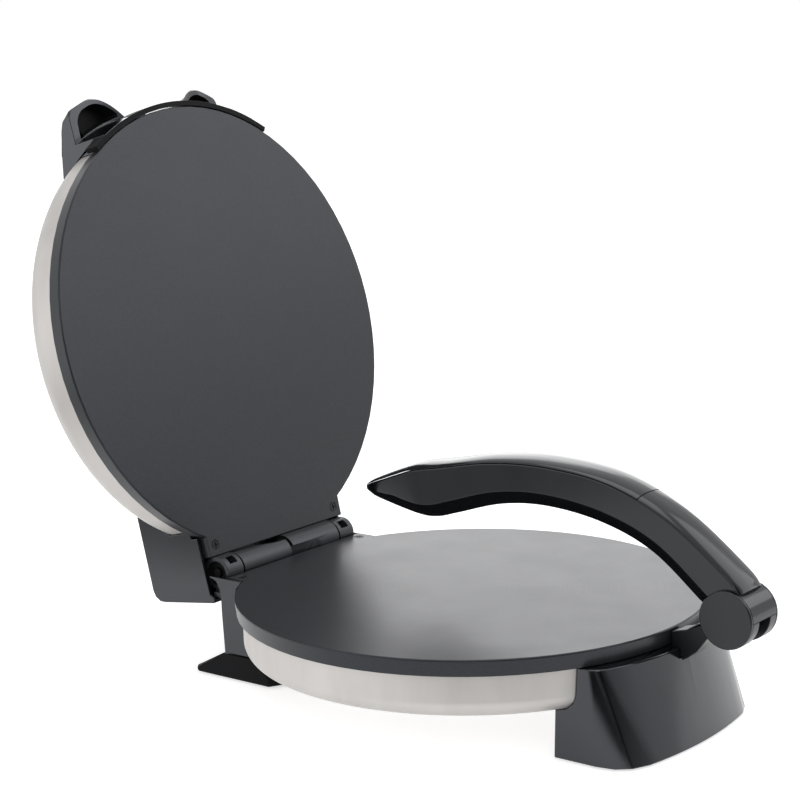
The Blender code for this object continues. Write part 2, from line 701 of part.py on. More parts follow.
def rear_foot():
    """Convex hull of one half's corners and their mirror images."""
    side_z = FLOOR_Z + FOOT_SIDE_HEIGHT
    tip_z = FLOOR_Z + FOOT_TIP_HEIGHT
    ridge_half = STAND_FOOT_HALF + FOOT_RIDGE_WIDER
    corner_y = foot_front + FOOT_CORNER
    half = [
        (FOOT_NOSE_HALF, foot_front, foot_bottom),
        (FOOT_HALF, corner_y, foot_bottom),
        (FOOT_HALF, foot_rear - FOOT_TIP_ROUND, foot_bottom),
        (FOOT_HALF - FOOT_TIP_ROUND, foot_rear, foot_bottom),
        (FOOT_NOSE_HALF, foot_front, side_z),
        (FOOT_HALF, corner_y, side_z),
        (FOOT_HALF, stand_rear, side_z),
        (FOOT_HALF, foot_rear - FOOT_TIP_ROUND, tip_z),
        (FOOT_HALF - FOOT_TIP_ROUND, foot_rear, tip_z),
        (ridge_half, stand_side[0][0] - FOOT_SHOULDER, foot_ridge_z),
        (ridge_half, stand_rear + FOOT_SHOULDER, foot_ridge_z),
    ]
    bm = bmesh.new()
    for x, y, z in half:
        bm.verts.new((x, y, z))
        bm.verts.new((-x, y, z))
    bmesh.ops.convex_hull(bm, input=bm.verts)
    return finish("rear_foot", bm, BASE, SATIN_BLACK)


foot = rear_foot()
recess_z = foot_bottom + FOOT_SCREW_RECESS
foot_screw_top = STAND_FOOT_Z + HIDDEN_THREAD
for side, word in SIDES:
    x = side * (STAND_FOOT_HALF - FOOT_SCREW_INSET)
    wide = SMALL_HEAD_RADIUS + FIT_GAP
    boolean(foot, upright(f"foot_{word}_recess_cutter", x, foot_screw_y, foot_bottom - OVERRUN, recess_z, wide))
    hole = upright(f"foot_{word}_hole_cutter", x, foot_screw_y, foot_bottom - OVERRUN, foot_screw_top + FIT_GAP)
    boolean(foot, hole)
    boolean(stand, hole)
    bottom_screw(f"foot_screw_{word}", x, foot_screw_y, recess_z - FIT_GAP, foot_screw_top)

# Front housing: a flared skirt, open behind and below, with a shelf under the shell
SKIRT_TOP_HALF = 60.8 * MM
SKIRT_TOP_PROUD = 5.9 * MM
SKIRT_TOP_CORNER = 6.0 * MM
SKIRT_FOOT_HALF = 63.2 * MM
SKIRT_FOOT_PROUD = 17.8 * MM
SKIRT_FOOT_BOW = 235.0 * MM
SKIRT_FOOT_CORNER = 17.0 * MM
SKIRT_REAR_SETBACK = 32.2 * MM
SKIRT_LIFT = 0.7 * MM
SKIRT_WALL = 2.6 * MM
BOW_STEPS = 6
SHELF = 2.4 * MM
FRONT_PAD_LIFT = 1.6 * MM
FRONT_PAD_X = 46.0 * MM
FRONT_PAD_BACK = 13.0 * MM
POST_RADIUS = 6.0 * MM
SHELL_SCREW_X = 34.0 * MM
SHELL_SCREW_BACK = 23.0 * MM
skirt_top_z = -UNDER_PLATE
skirt_foot_z = FLOOR_Z + SKIRT_LIFT
skirt_rear = -(PLATE_RADIUS - SKIRT_REAR_SETBACK)
shelf_top = -(BASE_BACK + FIT_GAP)
shelf_under = shelf_top - SHELF


def bowed_half(half, front, bow, corner):
    """Right half of a skirt's outline: side, rounded corner, then the bowed front to the middle."""
    middle_y = front + bow

    def on_bow(x):
        return (x, middle_y - math.sqrt(bow**2 - x**2))

    start = (half, on_bow(half)[1] + corner)
    point = on_bow(half)
    end = on_bow(half - corner)
    outline = [(half, skirt_rear)]
    for step in range(CORNER_STEPS + 1):
        t = step / CORNER_STEPS
        outline.append(tuple(blend(blend(a, b, t), blend(b, c, t), t) for a, b, c in zip(start, point, end)))
    for step in range(1, BOW_STEPS + 1):
        outline.append(on_bow((half - corner) * (1 - step / BOW_STEPS)))
    return outline


def full_outline(half):
    return half + [(-x, y) for x, y in reversed(half[:-1])]


top_bow = PLATE_RADIUS + SKIRT_TOP_PROUD
skirt_top = full_outline(bowed_half(SKIRT_TOP_HALF, -top_bow, top_bow, SKIRT_TOP_CORNER))
skirt_foot = full_outline(
    bowed_half(SKIRT_FOOT_HALF, -(PLATE_RADIUS + SKIRT_FOOT_PROUD), SKIRT_FOOT_BOW, SKIRT_FOOT_CORNER)
)


def skirt_at(z):
    share = (z - skirt_top_z) / (skirt_foot_z - skirt_top_z)
    return [(blend(a[0], b[0], share), blend(a[1], b[1], share)) for a, b in zip(skirt_top, skirt_foot)]


def inset(outline, distance):
    """The open outline moved inward by distance, each point along the middle of its two sides."""
    points = [Vector(point) for point in outline]
    normals = []
    for first, second in zip(points, points[1:]):
        run = (second - first).normalized()
        normals.append(Vector((run.y, -run.x)))
    found = []
    for index, point in enumerate(points):
        before = normals[max(index - 1, 0)]
        after = normals[min(index, len(normals) - 1)]
        middle = (before + after).normalized()
        moved = point + middle * (distance / middle.dot(before))
        found.append((moved.x, moved.y))
    return found


def skirt_space(name, low, high, distance, rear_overrun, look=None):
    """The space inside the skirt between two heights, moved in by distance."""
    loops = []
    for z in (low, high):
        points = inset(skirt_at(z), distance)
        points[0] = (points[0][0], skirt_rear + rear_overrun)
        points[-1] = (points[-1][0], skirt_rear + rear_overrun)
        loops.append([(x, y, z) for x, y in points])
    return loft(name, loops, BASE, look)


housing = skirt_space("front_housing", skirt_foot_z, skirt_top_z, 0, 0, GLOSS_BLACK)
boolean(housing, skirt_space("housing_lower_cutter", skirt_foot_z - OVERRUN, shelf_under, SKIRT_WALL, OVERRUN))
boolean(housing, skirt_space("housing_upper_cutter", shelf_top, skirt_top_z - SKIRT_WALL, SKIRT_WALL, OVERRUN))
boolean(housing, base_clear)
front_pad_y = -(PLATE_RADIUS - FRONT_PAD_BACK)
front_pad_seat = FLOOR_Z + FRONT_PAD_LIFT
shell_screw_y = -(PLATE_RADIUS - SHELL_SCREW_BACK)
for side, word in SIDES:
    post = upright(
        f"housing_{word}_post_tool",
        side * FRONT_PAD_X,
        front_pad_y,
        front_pad_seat,
        shelf_under + SHELF / 2,
        POST_RADIUS,
    )
    boolean(housing, post, "UNION")
    x = side * SHELL_SCREW_X
    hole = upright(f"housing_{word}_screw_cutter", x, shell_screw_y, shelf_under - OVERRUN, shelf_top + OVERRUN)
    boolean(housing, hole)
    boolean(base_pan, hole)
    bottom_screw(f"housing_screw_{word}", x, shell_screw_y, shelf_under - FIT_GAP, shelf_top + FIT_GAP + SHEET)

# Rubber pads under the foot and the front housing's posts
PAD_RADIUS = 5.0 * MM
PAD_SHARE = 0.86
REAR_PAD_SIDE_INSET = 13.4 * MM
REAR_PAD_INSET = 8.3 * MM


def rubber_pad(name, x, y, seat_z):
    radii = [
        (FLOOR_Z, PAD_RADIUS * PAD_SHARE),
        ((seat_z + FLOOR_Z) / 2, PAD_RADIUS),
        (seat_z - FIT_GAP / 2, PAD_RADIUS),
    ]
    rod(name, 2, (x, y), radii, BASE, RUBBER)


for side, word in SIDES:
    rear_pad_x = side * (FOOT_HALF - REAR_PAD_SIDE_INSET)
    rubber_pad(f"foot_pad_rear_{word}", rear_pad_x, foot_rear - REAR_PAD_INSET, foot_bottom)
    rubber_pad(f"foot_pad_front_{word}", side * FRONT_PAD_X, front_pad_y, front_pad_seat)

# Lever bracket: a block on the shelf, a neck past the plate's edge, an eye round the axle
LUG_HALF = 5.3 * MM
EYE_RADIUS = 7.5 * MM
AXLE_RADIUS = 4.0 * MM
BLOCK_HALF = 14.0 * MM
BLOCK_HEIGHT = 10.0 * MM
BLOCK_DEPTH = 6.4 * MM
BLOCK_GAP = 1.2 * MM
NECK_RISE = 1.5 * MM
BRACKET_SCREW_X = 9.5 * MM
# Start and end in degrees, then steps, of the eye's two round stretches
EYE_OVER = (-8.0, 180.0, 9)
EYE_UNDER = (205.0, 315.0, 5)
# The neck's edges as shares of the way from the plate's edge to the hub's centre, and of its height
NECK_TOP_SHARES = [(0.11, 0.08), (0.26, 0.20), (0.43, 0.53), (0.735, 0.88)]
NECK_UNDER_SHARES = [(0.60, -0.04), (0.43, -0.72), (0.26, -1.12), (0.08, -1.12)]
lug_bottom = shelf_top + FIT_GAP
block_rear = -(PLATE_RADIUS - BASE_SHELL_INSET + BLOCK_GAP)
block_front = block_rear - BLOCK_DEPTH
block_top = lug_bottom + BLOCK_HEIGHT
neck_rear = -(PLATE_RADIUS + 2 * FIT_GAP)
neck_top = [(-(PLATE_RADIUS + a * HUB_REACH), b * HUB_HEIGHT - NECK_RISE) for a, b in NECK_TOP_SHARES]
neck_under = [(-(PLATE_RADIUS + a * HUB_REACH), b * HUB_HEIGHT - NECK_RISE) for a, b in NECK_UNDER_SHARES]
hub_centre = (HUB_Y, HUB_HEIGHT)
lug_outline = [(block_rear, lug_bottom), (block_rear, skirt_top_z - FIT_GAP), (neck_rear, skirt_top_z - FIT_GAP)]
lug_outline += [(neck_rear, -NECK_RISE), *neck_top]
lug_outline += arc_points(EYE_RADIUS, *EYE_OVER, hub_centre)
lug_outline += arc_points(EYE_RADIUS, *EYE_UNDER, hub_centre)
lug_outline += [*neck_under, (block_front, neck_under[-1][1]), (block_front, lug_bottom)]
bracket = prism("lever_bracket", lug_outline, 0, -LUG_HALF, LUG_HALF, BASE, SATIN_BLACK)
block = box(
    "bracket_block_tool",
    (-BLOCK_HALF, block_front, lug_bottom),
    (BLOCK_HALF, block_rear, block_top),
    BASE,
)
boolean(bracket, block, "UNION")
slot_half = LUG_HALF + FIT_GAP
axle_bore = AXLE_RADIUS + FIT_GAP
eye_reach = slot_half + OVERRUN
boolean(bracket, rod("bracket_bore_cutter", 0, hub_centre, [(-eye_reach, axle_bore), (eye_reach, axle_bore)], BASE))
neck_slot = box(
    "housing_neck_cutter",
    (-slot_half, -(PLATE_RADIUS + HUB_REACH), neck_under[-1][1] - FIT_GAP),
    (slot_half, block_rear + FIT_GAP, 0),
    BASE,
)
boolean(housing, neck_slot)
bracket_screw_y = (block_front + block_rear) / 2
bracket_screw_top = lug_bottom + BLOCK_HEIGHT / 2
for side, word in SIDES:
    x = side * BRACKET_SCREW_X
    hole = upright(
        f"bracket_{word}_screw_cutter", x, bracket_screw_y, shelf_under - OVERRUN, bracket_screw_top + FIT_GAP
    )
    boolean(bracket, hole)
    boolean(housing, hole)
    bottom_screw(f"bracket_screw_{word}", x, bracket_screw_y, shelf_under - FIT_GAP, bracket_screw_top)

# Press lever, from the hub's centre. Each station is its lower edge and upper ridge as shares of
# ARM_LENGTH and ARM_RISE, then its half width as a share of ARM_HALF.
ARM_HALF = 12.8 * MM
CHAMFER_WIDTH = 5.0 * MM
CHAMFER_HEIGHT = 7.0 * MM
CROWN = 2.8 * MM
ARM_SHARES = [
    (0.039, 0.01, -0.028, 0.202, 0.86),
    (0.073, 0.079, 0.006, 0.335, 0.85),
    (0.193, 0.41, 0.147, 0.70, 0.86),
    (0.32, 0.586, 0.299, 0.925, 0.91),
    (0.464, 0.655, 0.462, 0.992, 0.97),
    (0.59, 0.618, 0.612, 0.964, 1.0),
    (0.716, 0.484, 0.751, 0.866, 1.0),
    (0.773, 0.425, 0.808, 0.828, 0.99),
    (0.831, 0.42, 0.855, 0.782, 0.97),
    (0.947, 0.488, 0.954, 0.647, 0.72),
    (0.999, 0.538, 1.0, 0.566, 0.2),
]
STEPS_BETWEEN = 2
CROWN_SHARES = ((1.0, 0.0), (0.86, 0.5), (0.5, 0.9), (0.0, 1.0))
CHAMFER_LIMIT_SHARE = 0.4
COVER_FIRST_STEP = 5
SPLIT_GAP = FIT_GAP / 2


def smooth_rows(rows, steps):
    """A smooth curve through rows of numbers, with steps from each row to the next."""
    found = []
    for index in range(len(rows) - 1):
        last = min(index + 2, len(rows) - 1)
        near = rows[max(index - 1, 0)], rows[index], rows[index + 1], rows[last]
        for step in range(steps):
            t = step / steps
            row = []
            for a, b, c, d in zip(*near):
                bend = (2 * a - 5 * b + 4 * c - d) * t**2 + (3 * b - a - 3 * c + d) * t**3
                row.append(b + ((c - a) * t + bend) / 2)
            found.append(row)
    return [*found, rows[-1]]


arm_rows = smooth_rows(ARM_SHARES, STEPS_BETWEEN)


def arm_station(row):
    """Lower edge, direction up to the ridge, depth and half width of one station."""
    low = Vector((0, row[0] * ARM_LENGTH, row[1] * ARM_RISE))
    high = Vector((0, row[2] * ARM_LENGTH, row[3] * ARM_RISE))
    return low, (high - low).normalized(), (high - low).length, row[4] * ARM_HALF


def arm_loop(row):
    low, rise, depth, half = arm_station(row)
    wide = min(CHAMFER_WIDTH, half * CHAMFER_LIMIT_SHARE)
    tall = min(CHAMFER_HEIGHT, depth * CHAMFER_LIMIT_SHARE)
    crown = CROWN * half / ARM_HALF
    side = [(half - wide, 0), (half, tall)]
    side += [(half * across, depth + crown * up) for across, up in CROWN_SHARES]
    loop = [low + rise * up + Vector((x, 0, 0)) for x, up in side]
    loop += [low + rise * up - Vector((x, 0, 0)) for x, up in reversed(side[:-1])]
    return loop


def cover_space(name, offset):
    """Everything above the ridge line from the cover's seam to past the tip."""
    stations = [arm_station(row) for row in arm_rows[COVER_FIRST_STEP:]]
    low, rise, depth, half = stations[-1]
    stations.append((low + Vector((0, OVERRUN, -OVERRUN / 2)), rise, depth, half))
    aside = Vector((ARM_HALF + OVERRUN, 0, 0))
    loops = []
    for low, rise, depth, _ in stations:
        seat = low + rise * (depth + offset)
        top = low + rise * (depth + CROWN + OVERRUN)
        loops.append([seat - aside, seat + aside, top + aside, top - aside])
    return loft(name, loops, LEVER)


arm = loft("lever_arm", [arm_loop(row) for row in arm_rows], LEVER, GLOSS_BLACK)
cover = loft("grip_cover", [arm_loop(row) for row in arm_rows[COVER_FIRST_STEP:]], LEVER, GLOSS_BLACK)
boolean(arm, cover_space("arm_cover_cutter", -SPLIT_GAP))
boolean(cover, cover_space("cover_seat_tool", SPLIT_GAP), "INTERSECT")

# Hub: the arm's upper half, two lower cheeks, two end caps and the axle
CAP_THICKNESS = 1.5 * MM
CAP_ROUND = 0.5 * MM
HUB_HALF = 13.5 * MM
HUB_SIDES = 36
EYE_ROOM = 0.9 * MM
AXLE_INSET = 0.1 * MM
HUB_CLEAR_SHARE = 2.7
hub_body_half = HUB_HALF - CAP_THICKNESS - FIT_GAP


def hub_half(name, start, end, upper, look=None):
    """Half of the hub's cylinder between two stations along X, above or below its axis."""
    start_angle = 0 if upper else 180
    split = SPLIT_GAP if upper else -SPLIT_GAP
    outline = arc_points(HUB_RADIUS, start_angle, start_angle + 180, HUB_SIDES // 2)
    trimmed = [(y, max(z, split) if upper else min(z, split)) for y, z in outline]
    return prism(name, trimmed, 0, start, end, LEVER, look)


def across_hub(name, half, radius):
    return rod(name, 0, (0, 0), [(-half, radius), (half, radius)], LEVER)


boolean(arm, hub_half("arm_hub_tool", -hub_body_half, hub_body_half, True), "UNION")
clear_reach = HUB_RADIUS * HUB_CLEAR_SHARE
below_hub = box(
    "arm_lower_cutter",
    (-BLOCK_HALF, -clear_reach, -clear_reach),
    (BLOCK_HALF, clear_reach, SPLIT_GAP),
    LEVER,
)
hub_bore = across_hub("hub_bore_cutter", HUB_HALF + OVERRUN, axle_bore)
eye_space = across_hub("hub_eye_cutter", slot_half, EYE_RADIUS + EYE_ROOM)
for cutter in (hub_bore, eye_space, below_hub):
    boolean(arm, cutter)
for side, word in SIDES:
    start, end = sorted((side * slot_half, side * hub_body_half))
    boolean(hub_half(f"hub_cheek_{word}", start, end, False, SATIN_BLACK), hub_bore)
    cap_radii = [
        (side * (HUB_HALF - CAP_THICKNESS), HUB_RADIUS),
        (side * (HUB_HALF - CAP_ROUND), HUB_RADIUS),
        (side * HUB_HALF, HUB_RADIUS - CAP_ROUND),
    ]
    rod(f"hub_cap_{word}", 0, (0, 0), cap_radii, LEVER, SATIN_BLACK, sides=HUB_SIDES)
axle_half = hub_body_half - AXLE_INSET
rod("lever_axle", 0, hub_centre, [(-axle_half, AXLE_RADIUS), (axle_half, AXLE_RADIUS)], BASE, SCREW_STEEL)

# Lid front housing: a roof over the shell, two hollow finger lifts and a strip round the plate's edge
RIM_STANDOFF = 3.3 * MM
RIM_SPREAD = math.radians(32.7)
RIM_SIDES = 30
POCKET_WALL = 2.0 * MM
POCKET_ROOF_DROP = 10.4 * MM
POCKET_TAPER_SHARE = 0.32

trim = loft("lid_front_housing", trim_loops, LID, GLOSS_BLACK)
rim_profile = [
    (PLATE_RADIUS, 0),
    (PLATE_RADIUS + RIM_STANDOFF, 0),
    (PLATE_RADIUS + RIM_STANDOFF, UNDER_PLATE),
    (PLATE_RADIUS, UNDER_PLATE),
]
rim_arc = (3 * math.pi / 2 - RIM_SPREAD, 3 * math.pi / 2 + RIM_SPREAD)
boolean(trim, lathe("trim_rim_tool", rim_profile, LID, sides=RIM_SIDES, arc=rim_arc), "UNION")
boolean(trim, lid_clear)


def ear_pocket(name, side):
    """The finger pocket of one ear: open to the plate's side, narrower at its roof."""
    half = TRIM_HALF - POCKET_WALL
    stations = ear_stations(EAR_INNER_X + 2 * POCKET_WALL, half)
    back = [(x, on_radius(SKIRT_RADIUS + FIT_GAP, x)) for x in reversed(stations)]
    mouth = [(x, ear_front(x, half, POCKET_WALL)) for x in stations] + back
    middle = (half + EAR_INNER_X) / 2, -(SKIRT_RADIUS - POCKET_WALL)
    roof = [tuple(blend(v, c, POCKET_TAPER_SHARE) for v, c in zip(point, middle)) for point in mouth]
    low, high = EAR_MOUTH - OVERRUN, ROOF_END_Z - POCKET_ROOF_DROP
    loops = [[(side * x, y, z) for x, y in outline] for outline, z in ((mouth, low), (roof, high))]
    return loft(name, loops, LID)


for side, word in SIDES:
    boolean(trim, ear_pocket(f"ear_{word}_cutter", side))

# Lid rear housing: a box behind the shell, open toward the hinge
BOX_WALL = 2.3 * MM
BOX_SIDE_CLEARANCE = 0.4 * MM
BOX_HALF = TAB_HALF + BOX_SIDE_CLEARANCE + BOX_WALL
BOX_FRONT = 29.6 * MM
BOX_RISE = 13.9 * MM
BOX_FRONT_FALL = 1.0 * MM
BOX_FOOT = 4.5 * MM
BOX_REACH = 16.0 * MM
BOX_LEAN = 4.5 * MM
BOX_CORNER = 7.5 * MM
BOX_LIP = 2.3 * MM
BOX_SIDE_FRONT = 16.2 * MM
BOX_SHELL_LAP = 9.5 * MM
box_front = TAB_EDGE - BOX_FRONT
box_side_front = TAB_EDGE - BOX_SIDE_FRONT
box_rear = HINGE_Y + BOX_REACH
box_top = LID_BACK + BOX_RISE
box_low = LID_BACK - BOX_SHELL_LAP


def box_roof(inward):
    """Side outline of the box's roof from its front to its rear corner, moved in by inward."""
    top = box_top - inward
    rear = box_rear - BOX_LEAN - inward
    corner = BOX_CORNER - inward
    corner_centre = (rear - corner, top - corner)
    return [
        (box_front + inward, top - BOX_FRONT_FALL),
        *arc_points(corner, 90, 0, CORNER_STEPS, corner_centre),
    ]


outer_box = [
    (box_front, box_low),
    *box_roof(0),
    (box_rear, BOX_FOOT - BOX_LIP / 3),
    (box_rear - BOX_LIP, BOX_FOOT - BOX_LIP),
    (box_rear - 2 * BOX_LIP, BOX_FOOT),
    (box_side_front, BOX_FOOT),
    (box_side_front, box_low),
]
box_hollow = [
    (box_front + BOX_WALL, box_low - OVERRUN),
    *box_roof(BOX_WALL),
    (box_rear - BOX_WALL, BOX_FOOT - BOX_LIP),
    (box_rear - BOX_WALL, BOX_FOOT - 2 * OVERRUN),
    (box_front + 2 * BOX_WALL, BOX_FOOT - 2 * OVERRUN),
    (box_front + 2 * BOX_WALL, box_low - OVERRUN),
]
rear_box = prism("lid_rear_housing", outer_box, 0, -BOX_HALF, BOX_HALF, LID, GLOSS_BLACK)
inner_half = BOX_HALF - BOX_WALL
boolean(rear_box, prism("rear_box_cutter", box_hollow, 0, -inner_half, inner_half, LID))
boolean(rear_box, lid_clear)
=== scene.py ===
import json
import math

import bmesh
import bpy
from mathutils import Matrix, Vector


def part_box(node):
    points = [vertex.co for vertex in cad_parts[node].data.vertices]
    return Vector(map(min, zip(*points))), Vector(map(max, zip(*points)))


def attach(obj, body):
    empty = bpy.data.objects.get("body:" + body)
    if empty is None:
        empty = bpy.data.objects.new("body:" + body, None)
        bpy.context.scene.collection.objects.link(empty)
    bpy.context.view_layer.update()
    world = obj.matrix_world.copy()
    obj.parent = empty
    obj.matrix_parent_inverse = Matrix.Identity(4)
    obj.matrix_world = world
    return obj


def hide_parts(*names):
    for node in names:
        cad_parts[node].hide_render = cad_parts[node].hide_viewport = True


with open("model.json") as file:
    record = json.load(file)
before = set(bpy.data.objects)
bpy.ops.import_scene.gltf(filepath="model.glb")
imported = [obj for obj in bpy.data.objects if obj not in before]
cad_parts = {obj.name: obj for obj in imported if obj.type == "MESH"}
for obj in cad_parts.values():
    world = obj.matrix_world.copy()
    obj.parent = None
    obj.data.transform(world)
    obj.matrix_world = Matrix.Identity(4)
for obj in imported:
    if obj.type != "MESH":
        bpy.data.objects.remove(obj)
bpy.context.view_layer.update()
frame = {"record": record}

MM = 0.001

# Places read from the frame: the base plate's top centre is the origin of every measured size
PLATE_LOW, PLATE_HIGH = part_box("base_plate")
PLATE_RADIUS = (PLATE_HIGH.x - PLATE_LOW.x) / 2
PLATE_THICKNESS = PLATE_HIGH.z - PLATE_LOW.z
CENTRE = Vector((0, PLATE_LOW.y + PLATE_RADIUS, PLATE_HIGH.z))
RECORD = frame["record"]
JOINTS = {joint["name"]: joint for joint in RECORD["behaviour"]["joints"]}
HINGE = Vector(JOINTS["lid_hinge"]["pos_m"])
HUB = Vector(JOINTS["lever_pivot"]["pos_m"])
LID_OPEN = math.radians(JOINTS["lid_hinge"]["range_deg"][1])
BODY = {node: body for body, nodes in RECORD["behaviour"]["bodies"].items() for node in nodes}
SLOT = {row["node"]: row["material_slot"] for row in RECORD["subparts"]}

# Lid pieces are drawn closed, from the lid plate's face, and turned open about the hinge
PLATES_APART = 0.5 * MM
LID_PIVOT = HINGE - CENTRE - Vector((0, 0, PLATES_APART))
TURN_OPEN = Matrix.Rotation(-LID_OPEN, 4, "X")
OPENED = Matrix.Translation(HINGE) @ TURN_OPEN @ Matrix.Translation(-LID_PIVOT)
ON_BASE = Matrix.Translation(CENTRE)
ON_HUB = Matrix.Translation(HUB)

# Camera: its place from the base plate's top centre, its angles, its lens and its sensor, the
# last two in millimetres
CAMERA_PLACE = Vector((-940.8, -685.8, 333.8)) * MM
CAMERA_AZIMUTH = math.radians(-52.15)
CAMERA_ELEVATION = math.radians(11.19)
CAMERA_ROLL = math.radians(-1.38)
CAMERA_LENS = 101.05
SENSOR_WIDTH = 36.0
NEAREST_SEEN = 50 * MM


def add_object(name, data):
    made = bpy.data.objects.new(name, data)
    bpy.context.scene.collection.objects.link(made)
    return made


def add_camera():
    """The photograph's camera, which looks along -back and is turned about it by its roll."""
    data = bpy.data.cameras.new("camera")
    data.lens = CAMERA_LENS
    data.sensor_width = SENSOR_WIDTH
    data.clip_start = NEAREST_SEEN
    made = add_object("camera", data)
    a, e, r = CAMERA_AZIMUTH, CAMERA_ELEVATION, CAMERA_ROLL
    back = Vector((math.sin(a) * math.cos(e), -math.cos(a) * math.cos(e), math.sin(e)))
    level = Vector((math.cos(a), math.sin(a), 0))
    upright = back.cross(level)
    right = level * math.cos(r) + upright * math.sin(r)
    up = upright * math.cos(r) - level * math.sin(r)
    turn = Matrix((right, up, back)).transposed().to_4x4()
    made.matrix_world = Matrix.Translation(CENTRE + CAMERA_PLACE) @ turn
    bpy.context.scene.camera = made


add_camera()


def new_material(name):
    made = bpy.data.materials.new(name)
    made.use_nodes = True
    return made, made.node_tree, made.node_tree.nodes["Principled BSDF"]


def add_node(tree, kind, **inputs):
    node = tree.nodes.new(kind)
    for key, value in inputs.items():
        node.inputs[key.replace("_", " ")].default_value = value
    return node


def object_coordinates(tree, scale=(1, 1, 1), turn=(0, 0, 0)):
    """An object's own coordinates, turned and scaled."""
    place = tree.nodes.new("ShaderNodeTexCoord")
    mapping = tree.nodes.new("ShaderNodeMapping")
    mapping.inputs["Scale"].default_value = scale
    mapping.inputs["Rotation"].default_value = turn
    tree.links.new(place.outputs["Object"], mapping.inputs["Vector"])
    return mapping.outputs["Vector"]


def noise(tree, vector, scale, detail=3.0, roughness=0.5):
    node = add_node(tree, "ShaderNodeTexNoise", Scale=scale, Detail=detail, Roughness=roughness)
    tree.links.new(vector, node.inputs["Vector"])
    return node.outputs["Fac"]


def spread(tree, value, low, high, from_low=0.3, from_high=0.7):
    """The value's span from from_low to from_high, spread from low to high and held there."""
    node = add_node(tree, "ShaderNodeMapRange")
    node.inputs["From Min"].default_value = from_low
    node.inputs["From Max"].default_value = from_high
    node.inputs["To Min"].default_value = low
    node.inputs["To Max"].default_value = high
    tree.links.new(value, node.inputs["Value"])
    return node.outputs["Result"]


def tint(tree, value, dark, light, low=0.35, high=0.65):
    """A colour between dark and light as the value goes from low to high."""
    ramp = tree.nodes.new("ShaderNodeValToRGB")
    ramp.color_ramp.elements[0].position = low
    ramp.color_ramp.elements[0].color = (*dark, 1)
    ramp.color_ramp.elements[1].position = high
    ramp.color_ramp.elements[1].color = (*light, 1)
    tree.links.new(value, ramp.inputs["Fac"])
    return ramp.outputs["Color"]


def math_node(tree, operation, first, second):
    """One operation on two values, each a number or another node's output."""
    node = tree.nodes.new("ShaderNodeMath")
    node.operation = operation
    for socket, value in zip(node.inputs, (first, second)):
        if isinstance(value, float):
            socket.default_value = value
        else:
            tree.links.new(value, socket)
    return node.outputs["Value"]


def vector_value(tree, operation, space, fixed):
    """A distance or dot product between one kind of coordinates and a fixed vector."""
    node = tree.nodes.new("ShaderNodeVectorMath")
    node.operation = operation
    node.inputs[1].default_value = fixed
    tree.links.new(tree.nodes.new("ShaderNodeTexCoord").outputs[space], node.inputs[0])
    return node.outputs["Value"]


def bump(tree, shader, height, strength, distance):
    node = add_node(tree, "ShaderNodeBump", Strength=strength, Distance=distance)
    tree.links.new(height, node.inputs["Height"])
    tree.links.new(node.outputs["Normal"], shader.inputs["Normal"])


# Looks. Grains, clouds, lines and smudges are noise scales, in features per metre. Tones and
# roughness are each a pair, and the noise moves between the two
SPRAY_GRAIN = 1500.0
RING_GRAIN = 700.0
RING_SHARE = 0.25
MOULD_GRAIN = 900.0
BOARD_GRAIN = 300.0
CLOUD = 28.0
METAL_CLOUD = 120.0
STEEL_LINES = (40.0, 40.0, 9000.0)
STEEL_SMUDGES = (70.0, 70.0, 18.0)
GRAIN_DEPTH = 0.04 * MM
LINE_DEPTH = 0.03 * MM
COOL_TINT = (0.90, 0.93, 1.0, 1)
COATING_TONES = (0.015, 0.016, 0.019), (0.027, 0.028, 0.032)
COATING_ROUGHNESS = 0.285, 0.345
COATING_GLOSS = 0.38
COATING_SKIN = 0.3
STEEL_TONES = (0.50, 0.482, 0.468), (0.575, 0.557, 0.54)
STEEL_ROUGHNESS = 0.50, 0.58
STEEL_SKIN = 0.06
METAL_CONTRAST = 1.25


def ring_noise(tree, centre):
    """Noise that changes only with the distance from a point, as turned rings round it."""
    rings = add_node(tree, "ShaderNodeTexNoise", Scale=RING_GRAIN, Detail=2.0)
    rings.noise_dimensions = "1D"
    away = vector_value(tree, "DISTANCE", "Object", centre)
    tree.links.new(away, rings.inputs["W"])
    return rings.outputs["Fac"]


def coating_material(name, centre):
    """Sprayed non-stick coating on a turned plate: fine grain, faint rings and soft clouds."""
    made, tree, shader = new_material(name)
    coords = object_coordinates(tree)
    grain = noise(tree, coords, SPRAY_GRAIN, detail=2.0)
    cloud = noise(tree, coords, CLOUD, detail=5.0, roughness=0.65)
    rings = ring_noise(tree, centre)
    tone = tint(tree, grain, *COATING_TONES, low=0.40, high=0.72)
    tree.links.new(tone, shader.inputs["Base Color"])
    clouded = math_node(tree, "MULTIPLY", cloud, 1 - RING_SHARE)
    turned = math_node(tree, "MULTIPLY", rings, RING_SHARE)
    sheen = math_node(tree, "ADD", clouded, turned)
    tree.links.new(spread(tree, sheen, *COATING_ROUGHNESS), shader.inputs["Roughness"])
    shader.inputs["Specular IOR Level"].default_value = COATING_GLOSS
    shader.inputs["Specular Tint"].default_value = COOL_TINT
    bump(tree, shader, grain, COATING_SKIN, GRAIN_DEPTH)
    return made


